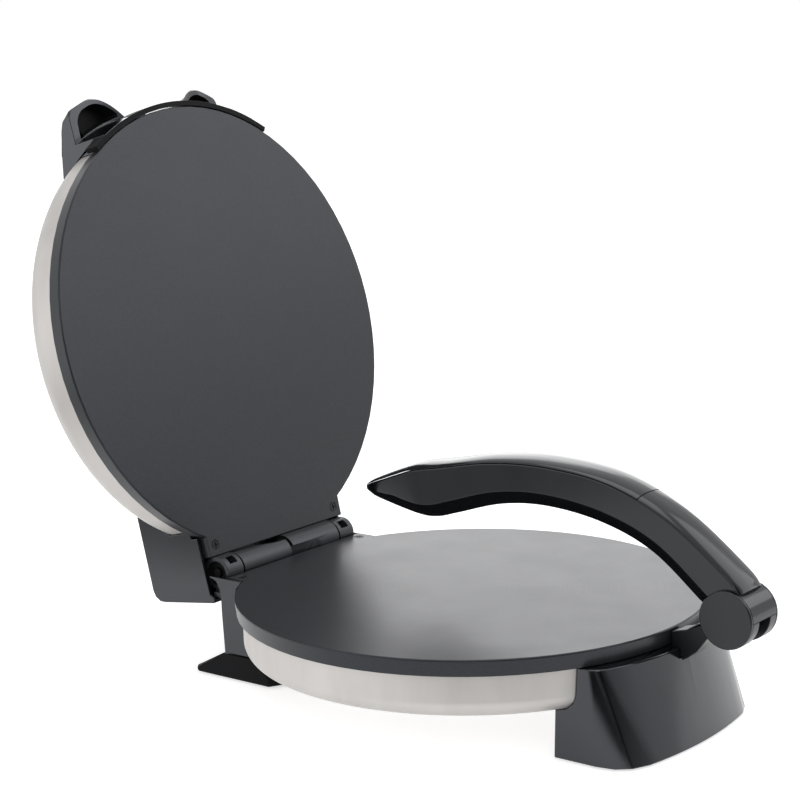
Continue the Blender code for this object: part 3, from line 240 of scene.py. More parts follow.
def plastic_material(name, colour, roughness, skin, grain=MOULD_GRAIN, tone_and_painted_sheen_contrast=1.35, gloss=0.5):
    """Moulded plastic: a fine skin, slow sheen, a colour cloud of uneven tone and painted
    reflection.
    """
    made, tree, shader = new_material(name)
    coords = object_coordinates(tree)
    cloud = noise(tree, coords, CLOUD, detail=4.0)
    grains = noise(tree, coords, grain)
    pale = tuple(value * tone_and_painted_sheen_contrast for value in colour)
    shader.inputs["Specular IOR Level"].default_value = gloss
    shader.inputs["Specular Tint"].default_value = COOL_TINT
    # The cloud from the colour to its paler copy is uneven tone and painted cloudy reflection, as
    # strong as the contrast says
    tree.links.new(tint(tree, cloud, colour, pale), shader.inputs["Base Color"])
    tree.links.new(spread(tree, cloud, *roughness), shader.inputs["Roughness"])
    bump(tree, shader, grains, skin, GRAIN_DEPTH)
    return made


def steel_material(name, turn_x):
    """Satin steel: very fine lines round the shell under soft upright smudges."""
    made, tree, shader = new_material(name)
    lines = object_coordinates(tree, STEEL_LINES, (turn_x, 0, 0))
    smudges = object_coordinates(tree, STEEL_SMUDGES, (turn_x, 0, 0))
    fine = noise(tree, lines, scale=1.0, detail=2.0)
    cloud = noise(tree, smudges, scale=1.0, detail=4.0)
    colour = tint(tree, cloud, *STEEL_TONES, low=0.3, high=0.7)
    tree.links.new(colour, shader.inputs["Base Color"])
    tree.links.new(spread(tree, cloud, *STEEL_ROUGHNESS), shader.inputs["Roughness"])
    shader.inputs["Metallic"].default_value = 1.0
    bump(tree, shader, fine, STEEL_SKIN, LINE_DEPTH)
    return made


def metal_material(name, colour, roughness):
    """Plated or blackened metal, a little uneven in tone and sheen."""
    made, tree, shader = new_material(name)
    cloud = noise(tree, object_coordinates(tree), METAL_CLOUD, detail=4.0)
    pale = tuple(min(value * METAL_CONTRAST, 1) for value in colour)
    tree.links.new(tint(tree, cloud, colour, pale), shader.inputs["Base Color"])
    tree.links.new(spread(tree, cloud, *roughness), shader.inputs["Roughness"])
    shader.inputs["Metallic"].default_value = 1.0
    return made


BASE_COATING = coating_material("base_nonstick", CENTRE)
LID_COATING = coating_material("lid_nonstick", OPENED.translation)
BASE_STEEL = steel_material("base_satin_steel", 0)
LID_STEEL = steel_material("lid_satin_steel", LID_OPEN)
GLOSS = plastic_material(
    "gloss_black", colour=(0.0035, 0.0037, 0.0040), roughness=(0.11, 0.17), skin=0.03
)
# The housing's strong colour cloud is mostly painted cloudy reflection on its glossy faces
HOUSING = plastic_material(
    "housing_black",
    colour=(0.003, 0.0033, 0.0042),
    roughness=(0.09, 0.17),
    skin=0.06,
    tone_and_painted_sheen_contrast=2.5,
    gloss=0.72,
)
SATIN = plastic_material(
    "satin_black", colour=(0.008, 0.0082, 0.009), roughness=(0.28, 0.36), skin=0.15
)
MATTE = plastic_material(
    "matte_black", colour=(0.007, 0.007, 0.0075), roughness=(0.45, 0.55), skin=0.3, gloss=0.08
)
HINGE_COAT = plastic_material(
    "hinge_coating", colour=(0.016, 0.017, 0.020), roughness=(0.30, 0.38), skin=0.2
)
RUBBER = plastic_material(
    "black_rubber", colour=(0.012, 0.012, 0.012), roughness=(0.65, 0.8), skin=0.4
)
SCREW = metal_material("blackened_screw", colour=(0.035, 0.035, 0.038), roughness=(0.35, 0.5))
BRIGHT = metal_material("plated_steel", colour=(0.45, 0.45, 0.45), roughness=(0.25, 0.4))
SHEATH = metal_material("heater_sheath", colour=(0.24, 0.22, 0.20), roughness=(0.45, 0.6))
WOOL = plastic_material(
    "mineral_board", colour=(0.42, 0.40, 0.36), roughness=(0.85, 0.95), skin=0.8, grain=BOARD_GRAIN
)
CERAMIC = plastic_material(
    "heatproof_plastic", colour=(0.5, 0.48, 0.45), roughness=(0.4, 0.55), skin=0.1
)

# Pieces: what counts as one point, one flat face or an edge, and how far edges are rounded
WELD = 0.002 * MM
FLAT_ANGLE = math.radians(0.7)
EDGE_ANGLE = math.radians(29.0)
EDGE_STEPS = 3
CREASE = math.radians(35.0)
FINE_EDGE = 0.15 * MM
HINGE_EDGE = 0.25 * MM
SMALL_EDGE = 0.3 * MM
EDGE = 0.5 * MM
SOFT_EDGE = 0.8 * MM
FOOT_EDGE = 1.0 * MM


def add_piece(node, bm, look, edge, place=None, inside=None):
    """A finished piece that takes a CAD node's place, with its edges rounded by edge.

    Where edge is 0, the mesh has its roundings already. Faces that a tool marked as inside take
    the inside look; in the ear pockets and the hinge grooves its dull dark is painted shade.
    """
    if place is not None:
        bm.transform(place)
    bmesh.ops.recalc_face_normals(bm, faces=bm.faces)
    mesh = bpy.data.meshes.new(f"{node}_skin")
    bm.to_mesh(mesh)
    bm.free()
    mesh.materials.append(look)
    if inside is not None:
        mesh.materials.append(inside)
    mesh.shade_smooth()
    if not edge:
        mesh.set_sharp_from_angle(angle=CREASE)
    piece = add_object(f"{node}_skin", mesh)
    if edge:
        rounding = piece.modifiers.new("rounded edges", "BEVEL")
        rounding.width = edge
        rounding.segments = EDGE_STEPS
        rounding.limit_method = "ANGLE"
        rounding.angle_limit = EDGE_ANGLE
        rounding.use_clamp_overlap = False
    flat = piece.modifiers.new("flat faces", "WEIGHTED_NORMAL")
    flat.keep_sharp = True
    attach(piece, BODY[node])
    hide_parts(node)
    return piece


def joined_facets(bm):
    """The mesh with its coplanar facets made one face."""
    bmesh.ops.remove_doubles(bm, verts=bm.verts, dist=WELD)
    bmesh.ops.dissolve_limit(bm, angle_limit=FLAT_ANGLE, verts=bm.verts, edges=bm.edges)
    return bm


def dress(node, look, edge):
    """A copy of a CAD node with its coplanar facets joined and its edges rounded."""
    bm = bmesh.new()
    bm.from_mesh(bpy.data.objects[node].data)
    return add_piece(node, joined_facets(bm), look, edge)


def skin_loops(bm, loops, closed_ends=True):
    """Skins equal loops one after another, with a face at each end."""
    rings = [[bm.verts.new(point) for point in loop] for loop in loops]
    count = len(rings[0])
    for ring, following in zip(rings, rings[1:]):
        for index in range(count):
            after = (index + 1) % count
            bm.faces.new((ring[index], ring[after], following[after], following[index]))
    if closed_ends:
        bm.faces.new(rings[0])
        bm.faces.new(list(reversed(rings[-1])))


def lathe(profile, sides, arc=None):
    """A closed (radius, height) profile turned about Z, all round or between two angles."""
    bm = bmesh.new()
    start, end = arc or (0, 2 * math.pi)
    loops = []
    for step in range(sides + 1):
        turn = start + (end - start) * step / sides
        loops.append([(r * math.cos(turn), r * math.sin(turn), z) for r, z in profile])
    skin_loops(bm, loops, closed_ends=arc is not None)
    bmesh.ops.remove_doubles(bm, verts=bm.verts, dist=WELD)
    bmesh.ops.recalc_face_normals(bm, faces=bm.faces)
    return bm


def tool(bm, inside=False):
    """A bmesh as an object for a Boolean, with add_piece's two slots: own look, inside look."""
    for face in bm.faces:
        face.material_index = int(inside)
    bmesh.ops.remove_doubles(bm, verts=bm.verts, dist=WELD)
    bmesh.ops.recalc_face_normals(bm, faces=bm.faces)
    mesh = bpy.data.meshes.new("tool")
    bm.to_mesh(mesh)
    bm.free()
    for look in (HOUSING, MATTE):
        mesh.materials.append(look)
    return add_object("tool", mesh)


def loft_tool(loops, inside=False):
    bm = bmesh.new()
    skin_loops(bm, loops)
    return tool(bm, inside)


def carved(target, steps):
    """The target after joins and cuts, as a bmesh. Every object used is deleted."""
    for operation, other in steps:
        made = target.modifiers.new(operation, "BOOLEAN")
        made.operation = operation
        made.object = other
        made.solver = "EXACT"
    graph = bpy.context.evaluated_depsgraph_get()
    result = target.evaluated_get(graph).to_mesh()
    bm = bmesh.new()
    bm.from_mesh(result)
    for used in (target, *(other for _, other in steps)):
        bpy.data.objects.remove(used)
    return bm


def blend(low, high, share):
    return low + (high - low) * share


# Drawn steel shells
FIT_GAP = 0.3 * MM
UNDER_PLATE = PLATE_THICKNESS + FIT_GAP
BASE_SHELL_CORNER = 9.0 * MM
LID_SHELL_CORNER = 13.5 * MM
SHEET = 0.8 * MM
SHEET_EDGE = SHEET / 4
SHELL_SIDES = 180
SHELL_CORNER_STEPS = 14
base_low, base_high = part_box("base_pan")
BASE_BACK = CENTRE.z - base_low.z
BASE_SHELL_RADIUS = (base_high.x - base_low.x) / 2
lid_low, lid_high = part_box("lid_pan")
LID_SHELL_DEPTH = 25.4 * MM
LID_BACK = UNDER_PLATE + LID_SHELL_DEPTH
LID_SHELL_RADIUS = (lid_high.x - lid_low.x) / 2


def shell_outline(radius, corner, back, sign, inward):
    """From the rim round the drawn corner to the centre, moved in by inward."""
    points = [(radius - inward, sign * UNDER_PLATE)]
    round_radius = corner - inward
    for step in range(SHELL_CORNER_STEPS + 1):
        turn = math.pi / 2 * step / SHELL_CORNER_STEPS
        across = radius - inward - round_radius * (1 - math.cos(turn))
        points.append((across, sign * (back - inward - round_radius * (1 - math.sin(turn)))))
    points.append((0, sign * (back - inward)))
    return points


def add_shell(node, radius, corner, back, sign, look, place):
    """A drawn sheet shell, open at the rim, below the plate or above it as sign says."""
    outer = shell_outline(radius, corner, back, sign, 0)
    inner = shell_outline(radius, corner, back, sign, SHEET)
    bm = lathe(outer + list(reversed(inner)), SHELL_SIDES)
    return add_piece(node, bm, look, SHEET_EDGE, place)


add_shell("base_pan", BASE_SHELL_RADIUS, BASE_SHELL_CORNER, BASE_BACK, -1, BASE_STEEL, ON_BASE)
add_shell("lid_pan", LID_SHELL_RADIUS, LID_SHELL_CORNER, LID_BACK, 1, LID_STEEL, OPENED)

# Press lever, from the hub's centre
ARM_LENGTH = 230.3 * MM
ARM_RISE = 64.3 * MM
ARM_HALF = 12.8 * MM
CHAMFER_WIDTH = 5.0 * MM
CHAMFER_HEIGHT = 7.0 * MM
CROWN = 2.8 * MM
# The CAD arm's stations, with a blunter tip. A row holds the reach and rise of the lower point
# and of the upper one, as shares of the arm's length and rise, and the share of its half width
ARM_SHARES = [
    (0.039, 0.01, -0.028, 0.202, 0.86),
    (0.073, 0.079, 0.006, 0.335, 0.85),
    (0.193, 0.41, 0.147, 0.70, 0.86),
    (0.32, 0.586, 0.299, 0.925, 0.91),
    (0.464, 0.655, 0.462, 0.992, 0.97),
    (0.59, 0.618, 0.612, 0.964, 1.0),
    (0.716, 0.484, 0.751, 0.866, 1.0),
    (0.773, 0.425, 0.808, 0.828, 0.99),
    (0.831, 0.42, 0.855, 0.782, 0.97),
    (0.947, 0.488, 0.954, 0.647, 0.72),
    (0.986, 0.520, 0.988, 0.597, 0.45),
    (0.999, 0.540, 1.0, 0.572, 0.22),
]
# Steps from station to station in the CAD and here, and the CAD's step at the cover's start
CAD_STEPS = 2
FINE_STEPS = 10
COVER_FIRST_CAD_STEP = 5
COVER_START = COVER_FIRST_CAD_STEP * FINE_STEPS // CAD_STEPS
COVER_GAP_SHARE = 0.15
CROWN_STEPS = 10
CHAMFER_LIMIT_SHARE = 0.4
SEAM_HALF = FIT_GAP / 2
ARM_ROUND = 0.8 * MM
ROUND_STEPS = 4
ROUND_LIMIT_SHARE = 0.4


def smooth_rows(rows, steps):
    """A smooth curve through rows of numbers, with steps from each row to the next."""
    found = []
    for index in range(len(rows) - 1):
        last = min(index + 2, len(rows) - 1)
        near = rows[max(index - 1, 0)], rows[index], rows[index + 1], rows[last]
        for step in range(steps):
            t = step / steps
            row = []
            for a, b, c, d in zip(*near):
                bend = (2 * a - 5 * b + 4 * c - d) * t**2 + (3 * b - a - 3 * c + d) * t**3
                row.append(b + ((c - a) * t + bend) / 2)
            found.append(row)
    return [*found, rows[-1]]


def rounded(before, corner, after, reach):
    """Points that round off one corner, starting at most reach from it."""
    before, corner, after = Vector(before), Vector(corner), Vector(after)
    cut = min(reach, ROUND_LIMIT_SHARE * min((before - corner).length, (after - corner).length))
    start = corner + (before - corner).normalized() * cut
    end = corner + (after - corner).normalized() * cut
    found = []
    for step in range(ROUND_STEPS + 1):
        t = step / ROUND_STEPS
        found.append(start.lerp(corner, t).lerp(corner.lerp(end, t), t))
    return found


def placed_loop(row, side):
    """A whole outline at its station, from its right half as (x, up) points, lowest first."""
    low_reach, low_rise, high_reach, high_rise, _ = row
    low = Vector((0, low_reach * ARM_LENGTH, low_rise * ARM_RISE))
    high = Vector((0, high_reach * ARM_LENGTH, high_rise * ARM_RISE))
    upward = (high - low).normalized()
    right = [low + upward * up + Vector((x, 0, 0)) for x, up in side]
    return right + [Vector((-point.x, point.y, point.z)) for point in reversed(right)]


def station_sizes(row):
    """The arm's half width at a station, and its depth from the lower point to the upper."""
    low_reach, low_rise, high_reach, high_rise, half_share = row
    run = (high_reach - low_reach) * ARM_LENGTH
    rise = (high_rise - low_rise) * ARM_RISE
    return half_share * ARM_HALF, math.hypot(run, rise)


def body_loop(row):
    """The arm below its ridge: chamfered under, flat on top, with rounded corners."""
    half, depth = station_sizes(row)
    wide = min(CHAMFER_WIDTH, half * CHAMFER_LIMIT_SHARE)
    tall = min(CHAMFER_HEIGHT, depth * CHAMFER_LIMIT_SHARE)
    top = depth - SEAM_HALF
    corners = [(0, 0), (half - wide, 0), (half, tall), (half, top), (0, top)]
    side = []
    for before, corner, after in zip(corners, corners[1:], corners[2:]):
        side += rounded(before, corner, after, ARM_ROUND)
    return placed_loop(row, side)


def crown_loop(row, foot):
    """The crowned top above the ridge, from foot upward."""
    half, depth = station_sizes(row)
    crown = CROWN * half / ARM_HALF
    arc = []
    for step in range(1, CROWN_STEPS):
        turn = math.pi / 2 * step / CROWN_STEPS
        arc.append((half * math.cos(turn), depth + crown * math.sin(turn)))
    side = rounded((0, depth + foot), (half, depth + foot), arc[0], ARM_ROUND) + arc
    return placed_loop(row, side)


arm_rows = smooth_rows(ARM_SHARES, FINE_STEPS)
first, second = arm_rows[COVER_START], arm_rows[COVER_START + 1]
cover_end = [blend(a, b, COVER_GAP_SHARE) for a, b in zip(first, second)]
body_loops = [body_loop(row) for row in arm_rows]
# The root's crown sinks into the arm to join it, and the cover stands off it by a seam
root_loops = [crown_loop(row, -FIT_GAP) for row in arm_rows[: COVER_START + 1]]
cover_loops = [crown_loop(row, SEAM_HALF) for row in (cover_end, *arm_rows[COVER_START + 1 :])]

# Hub: half a barrel on the arm, cheeks below, two caps
HUB_RADIUS = 14.8 * MM
HUB_HALF = 13.5 * MM
CAP_THICKNESS = 1.5 * MM
HUB_BODY_HALF = HUB_HALF - CAP_THICKNESS - FIT_GAP
HUB_SIDES = 96
SLOT_HALF = 5.6 * MM
EYE_SPACE = 8.4 * MM
AXLE_BORE = 4.3 * MM
OVERRUN = 5.0 * MM
HUB_CLEAR = 40.0 * MM


def across_hub(half, radius):
    """A round bar along the hub's axis."""
    loops = []
    for x in (-half, half):
        loop = []
        for step in range(HUB_SIDES):
            turn = 2 * math.pi * (step + 0.5) / HUB_SIDES
            loop.append((x, radius * math.cos(turn), radius * math.sin(turn)))
        loops.append(loop)
    return loft_tool(loops)


def upper_barrel():
    """The half of the hub's barrel that is one piece with the arm."""
    outline = []
    for step in range(HUB_SIDES // 2 + 1):
        turn = math.pi * step / (HUB_SIDES // 2)
        outline.append((HUB_RADIUS * math.cos(turn), max(HUB_RADIUS * math.sin(turn), SEAM_HALF)))
    return loft_tool([[(x, y, z) for y, z in outline] for x in (-HUB_BODY_HALF, HUB_BODY_HALF)])


def box_tool(low, high):
    """A box from its lowest corner to its highest."""
    outline = [(low[0], low[1]), (high[0], low[1]), (high[0], high[1]), (low[0], high[1])]
    return loft_tool([[(x, y, z) for x, y in outline] for z in (low[2], high[2])])


below_hub = box_tool((-HUB_CLEAR, -HUB_CLEAR, -HUB_CLEAR), (HUB_CLEAR, HUB_CLEAR, SEAM_HALF))
arm_steps = [
    ("UNION", loft_tool(root_loops)),
    ("UNION", upper_barrel()),
    ("DIFFERENCE", across_hub(HUB_HALF + OVERRUN, AXLE_BORE)),
    ("DIFFERENCE", across_hub(SLOT_HALF, EYE_SPACE)),
    ("DIFFERENCE", below_hub),
]
add_piece("lever_arm", carved(loft_tool(body_loops), arm_steps), GLOSS, 0, ON_HUB)
cover_bm = bmesh.new()
skin_loops(cover_bm, cover_loops)
add_piece("grip_cover", cover_bm, GLOSS, 0, ON_HUB)

# Hinge barrels, from the base plate's top centre: grooves between the knuckles, hollow ends
BARREL_RADIUS = 9.1 * MM
BARREL_END = 55.4 * MM
KNUCKLE_SPLIT = 42.0 * MM
GROOVE_HALF = 0.8 * MM
GROOVE_DEPTH = 1.8 * MM
END_HOLLOW_RADIUS = 6.6 * MM
END_HOLLOW_DEPTH = 2.0 * MM


def ring_tool(x, half, inner, outer):
    """A ring about the hinge's axis, or a disc where inner is 0, whose cut is painted dark as
    shade.
    """
    profile = [(inner, -half), (outer, -half), (outer, half), (inner, half)]
    bm = lathe(profile, HUB_SIDES)
    along_x = Matrix.Rotation(math.pi / 2, 4, "Y")
    bm.transform(Matrix.Translation((x, HINGE.y, HINGE.z)) @ along_x)
    return tool(bm, inside=True)


def grooved(node):
    """A hinge leaf's CAD mesh with the grooves and hollow ends cut into its barrel."""
    groove = GROOVE_HALF, BARREL_RADIUS - GROOVE_DEPTH, BARREL_RADIUS + OVERRUN
    hollow = END_HOLLOW_DEPTH, 0, END_HOLLOW_RADIUS
    cuts = [ring_tool(x, *groove) for x in (-KNUCKLE_SPLIT, 0, KNUCKLE_SPLIT)]
    cuts += [ring_tool(x, *hollow) for x in (-BARREL_END, BARREL_END)]
    steps = [("DIFFERENCE", cut) for cut in cuts]
    source = bmesh.new()
    source.from_mesh(bpy.data.objects[node].data)
    return carved(tool(source), steps)


# The grooves and hollow ends take the matte look as painted shade
for node in ("base_hinge", "lid_hinge"):
    add_piece(node, joined_facets(grooved(node)), HINGE_COAT, HINGE_EDGE, inside=MATTE)

# Lid front housing, drawn closed: a roof over the shell, a strip round the rim, and two finger
# lifts, called ears here
SKIRT_STANDOFF = 3.5 * MM
SKIRT_RADIUS = PLATE_RADIUS + SKIRT_STANDOFF
ROOF_OVERLAP = 27.8 * MM
ROOF_RISE = 6.3 * MM
ROOF_END_Y = -(PLATE_RADIUS - ROOF_OVERLAP)
ROOF_END_Z = LID_BACK + ROOF_RISE
ROOF_KNEE = 15.5 * MM
ROOF_SHOULDER_DROP = 9.1 * MM
ROOF_BROW_DROP = 7.1 * MM
ROOF_KNEE_DROP = 3.2 * MM
TRIM_HALF = 60.8 * MM
MIDDLE_STANDOFF = 1.0 * MM
MIDDLE_SINK = 3.6 * MM
EAR_INNER_X = 23.0 * MM
EAR_PEAK_X = 47.0 * MM
EAR_REACH = 16.7 * MM
EAR_CORNER = 3.0 * MM
EAR_MOUTH = 22.0 * MM
MOUTH_RISE = 3.0 * MM
EAR_LIP = 1.6 * MM
EAR_SHOULDER = 3.4 * MM
EAR_BROW = 7.2 * MM
EAR_STEPS = 18
EAR_SIDE_STEPS = 6
EAR_CORNER_STEPS = 10
RIM_STANDOFF = 3.3 * MM
RIM_SPREAD = math.radians(32.7)
POCKET_WALL = 2.4 * MM
POCKET_SIDE_WALL = 2.6 * MM
POCKET_CORNER = 7.0 * MM
POCKET_START = 5.0 * MM
POCKET_ROOF_DROP = 11.2 * MM
POCKET_TAPER_SHARE = 0.22


def ear_share(x):
    """0 between the ears, rising in a rounded shoulder to 1 at an ear's full reach."""
    share = min(max((abs(x) - EAR_INNER_X) / (EAR_PEAK_X - EAR_INNER_X), 0), 1)
    return 1 - (1 - share) ** 2


def on_radius(radius, x):
    """Y of the front half of a circle about the plate's centre."""
    return -math.sqrt(radius**2 - x**2)


def root_radius(x):
    return PLATE_RADIUS + blend(MIDDLE_STANDOFF, SKIRT_STANDOFF, ear_share(x))


def ear_front(x, half, inward, corner):
    """Y of the outer wall at one station, moved in by inward and rounded off at its outer end."""
    past = max(abs(x) - (half - corner), 0)
    drop = corner - math.sqrt(max(corner**2 - past**2, 0))
    return on_radius(root_radius(x) + EAR_REACH * ear_share(x) - inward, x) + drop


def ear_stations(start, half, corner):
    """Stations across one ear, close where its outline bends most."""
    found = [blend(start, EAR_PEAK_X, step / EAR_STEPS) for step in range(EAR_STEPS)]
    side = half - corner
    found += [blend(EAR_PEAK_X, side, step / EAR_SIDE_STEPS) for step in range(EAR_SIDE_STEPS)]
    for step in range(EAR_CORNER_STEPS + 1):
        found.append(side + corner * math.sin(math.pi / 2 * step / EAR_CORNER_STEPS))
    return found


def trim_loop(x):
    """Side-on section of the trim at one station."""
    share = ear_share(x)
    sink = MIDDLE_SINK * (1 - share)
    root = on_radius(root_radius(x), x)
    front = ear_front(x, TRIM_HALF, 0, EAR_CORNER)
    outward = max(abs(x) - EAR_INNER_X, 0) / (TRIM_HALF - EAR_INNER_X)
    lip = EAR_MOUTH + MOUTH_RISE * outward**2 - sink
    path = [
        (root, 0),
        (root, lip),
        (front + EAR_LIP * share / 2, lip),
        (front, lip + EAR_LIP),
        (front + blend(EAR_LIP, EAR_SHOULDER, share), ROOF_END_Z - ROOF_SHOULDER_DROP - sink),
        (front + blend(EAR_SHOULDER, EAR_BROW, share), ROOF_END_Z - ROOF_BROW_DROP - sink),
        (-(PLATE_RADIUS - ROOF_KNEE), ROOF_END_Z - ROOF_KNEE_DROP - sink / 2),
        (ROOF_END_Y, ROOF_END_Z - sink),
        (ROOF_END_Y, 0),
    ]
    return [(x, y, z) for y, z in path]


def ear_pocket(side):
    """The finger pocket of one ear: open to the plate's side, narrower at its roof."""
    half = TRIM_HALF - POCKET_SIDE_WALL
    stations = ear_stations(EAR_INNER_X + POCKET_START, half, POCKET_CORNER)
    back = [(x, on_radius(SKIRT_RADIUS + FIT_GAP, x)) for x in reversed(stations)]
    mouth = [(x, ear_front(x, half, POCKET_WALL, POCKET_CORNER)) for x in stations] + back
    middle = (half + EAR_INNER_X) / 2, -(SKIRT_RADIUS - POCKET_WALL)
    roof = [[blend(v, c, POCKET_TAPER_SHARE) for v, c in zip(point, middle)] for point in mouth]
    low, high = EAR_MOUTH - OVERRUN, ROOF_END_Z - POCKET_ROOF_DROP
    loops = [[(side * x, y, z) for x, y in outline] for outline, z in ((mouth, low), (roof, high))]
    return loft_tool(loops, inside=True)


def rim_strip():
    """The thin strip that runs round the plate's rim past both ends of the trim."""
    outer = PLATE_RADIUS + RIM_STANDOFF
    profile = [(PLATE_RADIUS, 0), (outer, 0), (outer, UNDER_PLATE), (PLATE_RADIUS, UNDER_PLATE)]
    front = 3 * math.pi / 2
    arc = front - RIM_SPREAD, front + RIM_SPREAD
    return tool(lathe(profile, SHELL_SIDES, arc), inside=True)


def lid_space():
    """The space of the lid's plate and shell with the fitting gap round both."""
    side = PLATE_RADIUS + FIT_GAP
    shell = shell_outline(LID_SHELL_RADIUS, LID_SHELL_CORNER, LID_BACK, 1, -FIT_GAP)
    return tool(lathe([(0, -OVERRUN), (side, -OVERRUN), (side, UNDER_PLATE), *shell], SHELL_SIDES))


right_stations = ear_stations(EAR_INNER_X, TRIM_HALF, EAR_CORNER)
trim_stations = [-x for x in reversed(right_stations)] + right_stations
trim_steps = [
    ("UNION", rim_strip()),
    ("DIFFERENCE", lid_space()),
    ("DIFFERENCE", ear_pocket(-1)),
    ("DIFFERENCE", ear_pocket(1)),
]
trim_bm = carved(loft_tool([trim_loop(x) for x in trim_stations]), trim_steps)
# The pocket walls take the matte look as painted shade, and the rim strip takes that look too
add_piece("lid_front_housing", joined_facets(trim_bm), HOUSING, SMALL_EDGE, OPENED, MATTE)

# Every other visible node: its look and the rounding of its edges
DRESSED = {
    "base_plate": (BASE_COATING, SMALL_EDGE),
    "lid_plate": (LID_COATING, SMALL_EDGE),
    "hinge_pin": (MATTE, SMALL_EDGE),
    "base_tab_screw_left": (SCREW, FINE_EDGE),
    "base_tab_screw_right": (SCREW, FINE_EDGE),
    "lid_tab_screw_left": (SCREW, FINE_EDGE),
    "lid_tab_screw_right": (SCREW, FINE_EDGE),
    "front_housing": (HOUSING, SOFT_EDGE),
    "housing_screw_left": (BRIGHT, FINE_EDGE),
    "housing_screw_right": (BRIGHT, FINE_EDGE),
    "bracket_screw_left": (BRIGHT, FINE_EDGE),
    "bracket_screw_right": (BRIGHT, FINE_EDGE),
    "lever_bracket": (SATIN, EDGE),
    "lever_axle": (BRIGHT, SMALL_EDGE),
    "rear_stand": (HOUSING, EDGE),
    "rear_foot": (MATTE, FOOT_EDGE),
    "foot_screw_left": (BRIGHT, FINE_EDGE),
    "foot_screw_right": (BRIGHT, FINE_EDGE),
    "foot_pad_front_left": (RUBBER, EDGE),
    "foot_pad_front_right": (RUBBER, EDGE),
    "foot_pad_rear_left": (RUBBER, EDGE),
    "foot_pad_rear_right": (RUBBER, EDGE),
    "cord_gland": (RUBBER, SMALL_EDGE),
    "lid_rear_housing": (HOUSING, SOFT_EDGE),
    "hub_cap_left": (SATIN, FINE_EDGE),
    "hub_cap_right": (SATIN, FINE_EDGE),
    "hub_cheek_left": (SATIN, SMALL_EDGE),
    "hub_cheek_right": (SATIN, SMALL_EDGE),
}
for node, (look, edge) in DRESSED.items():
    dress(node, look, edge)

# Every CAD node gets its slot's look too, so the ones inside are finished as well
LOOKS = {
    "nonstick": BASE_COATING,
    "steel": BASE_STEEL,
    "gloss_black": GLOSS,
    "satin_black": SATIN,
    "hinge_coat": HINGE_COAT,
    "rubber": RUBBER,
    "screw_steel": SCREW,
    "sheath": SHEATH,
    "wool": WOOL,
    "ceramic": CERAMIC,
}
LID_LOOKS = {"lid_plate": LID_COATING, "lid_pan": LID_STEEL}
for node, slot_name in SLOT.items():
    for slot in bpy.data.objects[node].material_slots:
        slot.material = LID_LOOKS.get(node, LOOKS[slot_name])

# Floor, world and lamps, in metres and watts
WHITE = (1, 1, 1, 1)
FLOOR_HALF = 4.0
FLOOR_DROP = 0.4 * MM
FLOOR_WHITE = (0.80, 0.80, 0.80, 1)
FLOOR_DARK = (0.01, 0.01, 0.01, 1)
FLOOR_ROUGHNESS = 0.9
FLOOR_GLOW = 0.66
# Dark cards on the floor that only reflections see: the centre, the distances from it between
# which the floor's white comes back, and the least share of it that is left
CARDS = [
    ((-0.85, -0.70, 0), (0.68, 0.84), 0.02),
    ((-0.46, 0.35, 0), (0.17, 0.28), 0.42),
]
# The unlit side of the studio behind the camera, which only reflections see: its direction,
# and the cosines of the angles from it where the dark begins and where it is full
DARK_SIDE = (-0.57, -0.82, 0.06)
DARK_SIDE_ENDS = (0.5, 0.82)
STUDIO_LEVEL = 0.5
AIM = Vector((0, 0, 0.1))
# Each softbox: its place, its width and height, and its power
SOFTBOXES = {
    "key_softbox": ((-1.6, -1.2, 1.5), (1.0, 1.0), 9.0),
    "top_softbox": ((0.2, 0.1, 1.9), (1.4, 1.4), 10.0),
    "left_softbox": ((-1.5, 1.2, 0.5), (1.4, 0.9), 3.0),
    "rear_softbox": ((1.9, 1.5, 0.75), (2.4, 1.3), 13.0),
    "front_softbox": ((1.0, -0.85, 1.0), (1.1, 1.1), 5.0),
}


def ray(tree, kind):
    """1 for rays of one kind, 0 for all others."""
    return tree.nodes.new("ShaderNodeLightPath").outputs[f"Is {kind} Ray"]


def seen_ray(tree):
    """1 for camera, glossy and transmission rays, which see the background."""
    seen = math_node(tree, "MAXIMUM", ray(tree, "Camera"), ray(tree, "Transmission"))
    return math_node(tree, "MAXIMUM", seen, ray(tree, "Glossy"))


def reflected_floor(tree):
    """How much of the floor's white a reflection holds: less round each dark card."""
    share = 1.0
    for place, ends, least in CARDS:
        away = vector_value(tree, "DISTANCE", "Object", place)
        share = math_node(tree, "MULTIPLY", spread(tree, away, least, 1, *ends), share)
    return share


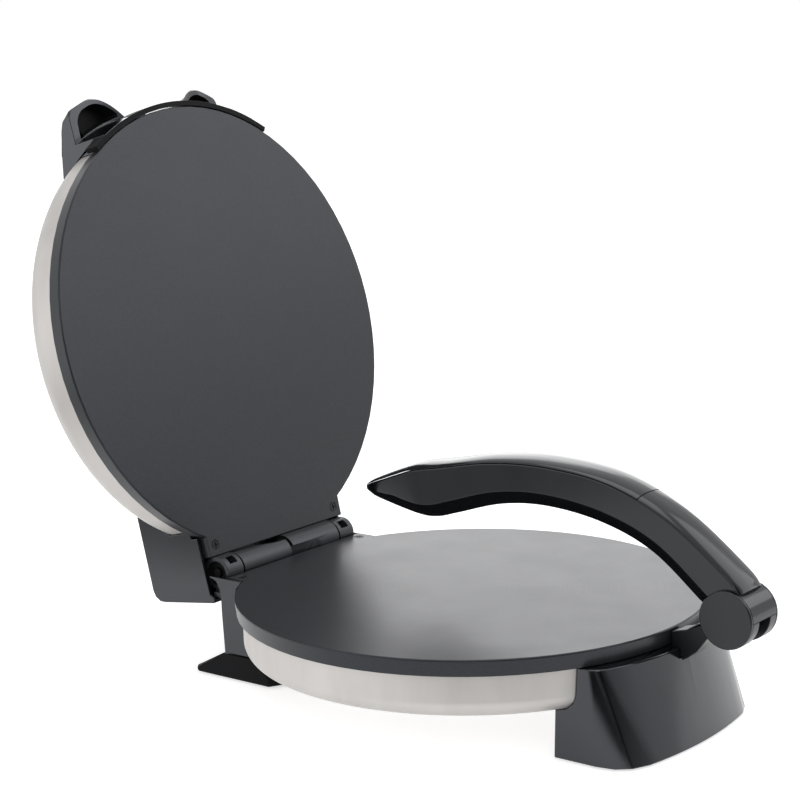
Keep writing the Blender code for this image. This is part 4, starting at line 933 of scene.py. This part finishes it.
def add_floor():
    """A white floor that keeps the object's shadow, darker to reflections round the cards."""
    bm = bmesh.new()
    corners = [(-1, -1), (1, -1), (1, 1), (-1, 1)]
    bm.faces.new([bm.verts.new((x * FLOOR_HALF, y * FLOOR_HALF, -FLOOR_DROP)) for x, y in corners])
    mesh = bpy.data.meshes.new("floor")
    bm.to_mesh(mesh)
    bm.free()
    floor = add_object("floor", mesh)
    made, tree, shader = new_material("white_floor")
    shader.inputs["Base Color"].default_value = FLOOR_WHITE
    shader.inputs["Roughness"].default_value = FLOOR_ROUGHNESS
    shader.inputs["Emission Color"].default_value = WHITE
    glow = spread(tree, seen_ray(tree), 0, FLOOR_GLOW, 0, 1)
    tree.links.new(glow, shader.inputs["Emission Strength"])
    dark = add_node(tree, "ShaderNodeBsdfDiffuse", Color=FLOOR_DARK)
    missing = math_node(tree, "SUBTRACT", 1.0, reflected_floor(tree))
    mix = tree.nodes.new("ShaderNodeMixShader")
    tree.links.new(math_node(tree, "MULTIPLY", ray(tree, "Glossy"), missing), mix.inputs["Fac"])
    tree.links.new(shader.outputs["BSDF"], mix.inputs[1])
    tree.links.new(dark.outputs["BSDF"], mix.inputs[2])
    tree.links.new(mix.outputs["Shader"], tree.nodes["Material Output"].inputs["Surface"])
    mesh.materials.append(made)


def add_world():
    """White for the camera, plain soft light, and an unlit side for reflections."""
    world = bpy.data.worlds.new("studio")
    bpy.context.scene.world = world
    world.use_nodes = True
    tree = world.node_tree
    background = tree.nodes["Background"]
    background.inputs["Color"].default_value = WHITE
    level = spread(tree, seen_ray(tree), STUDIO_LEVEL, 1, 0, 1)
    towards = vector_value(tree, "DOT_PRODUCT", "Generated", Vector(DARK_SIDE).normalized())
    unlit = spread(tree, towards, 0, 1, *DARK_SIDE_ENDS)
    lit = math_node(tree, "SUBTRACT", 1.0, math_node(tree, "MULTIPLY", ray(tree, "Glossy"), unlit))
    tree.links.new(math_node(tree, "MULTIPLY", level, lit), background.inputs["Strength"])


def add_softbox(name, place, size, power):
    """A rectangular area lamp turned to AIM."""
    data = bpy.data.lights.new(name, "AREA")
    data.shape = "RECTANGLE"
    data.size, data.size_y = size
    data.energy = power
    made = add_object(name, data)
    made.location = place
    made.rotation_euler = (AIM - Vector(place)).to_track_quat("-Z", "Y").to_euler()


add_floor()
add_world()
for name, (place, size, power) in SOFTBOXES.items():
    add_softbox(name, place, size, power)
bpy.context.scene.view_settings.view_transform = "Standard"
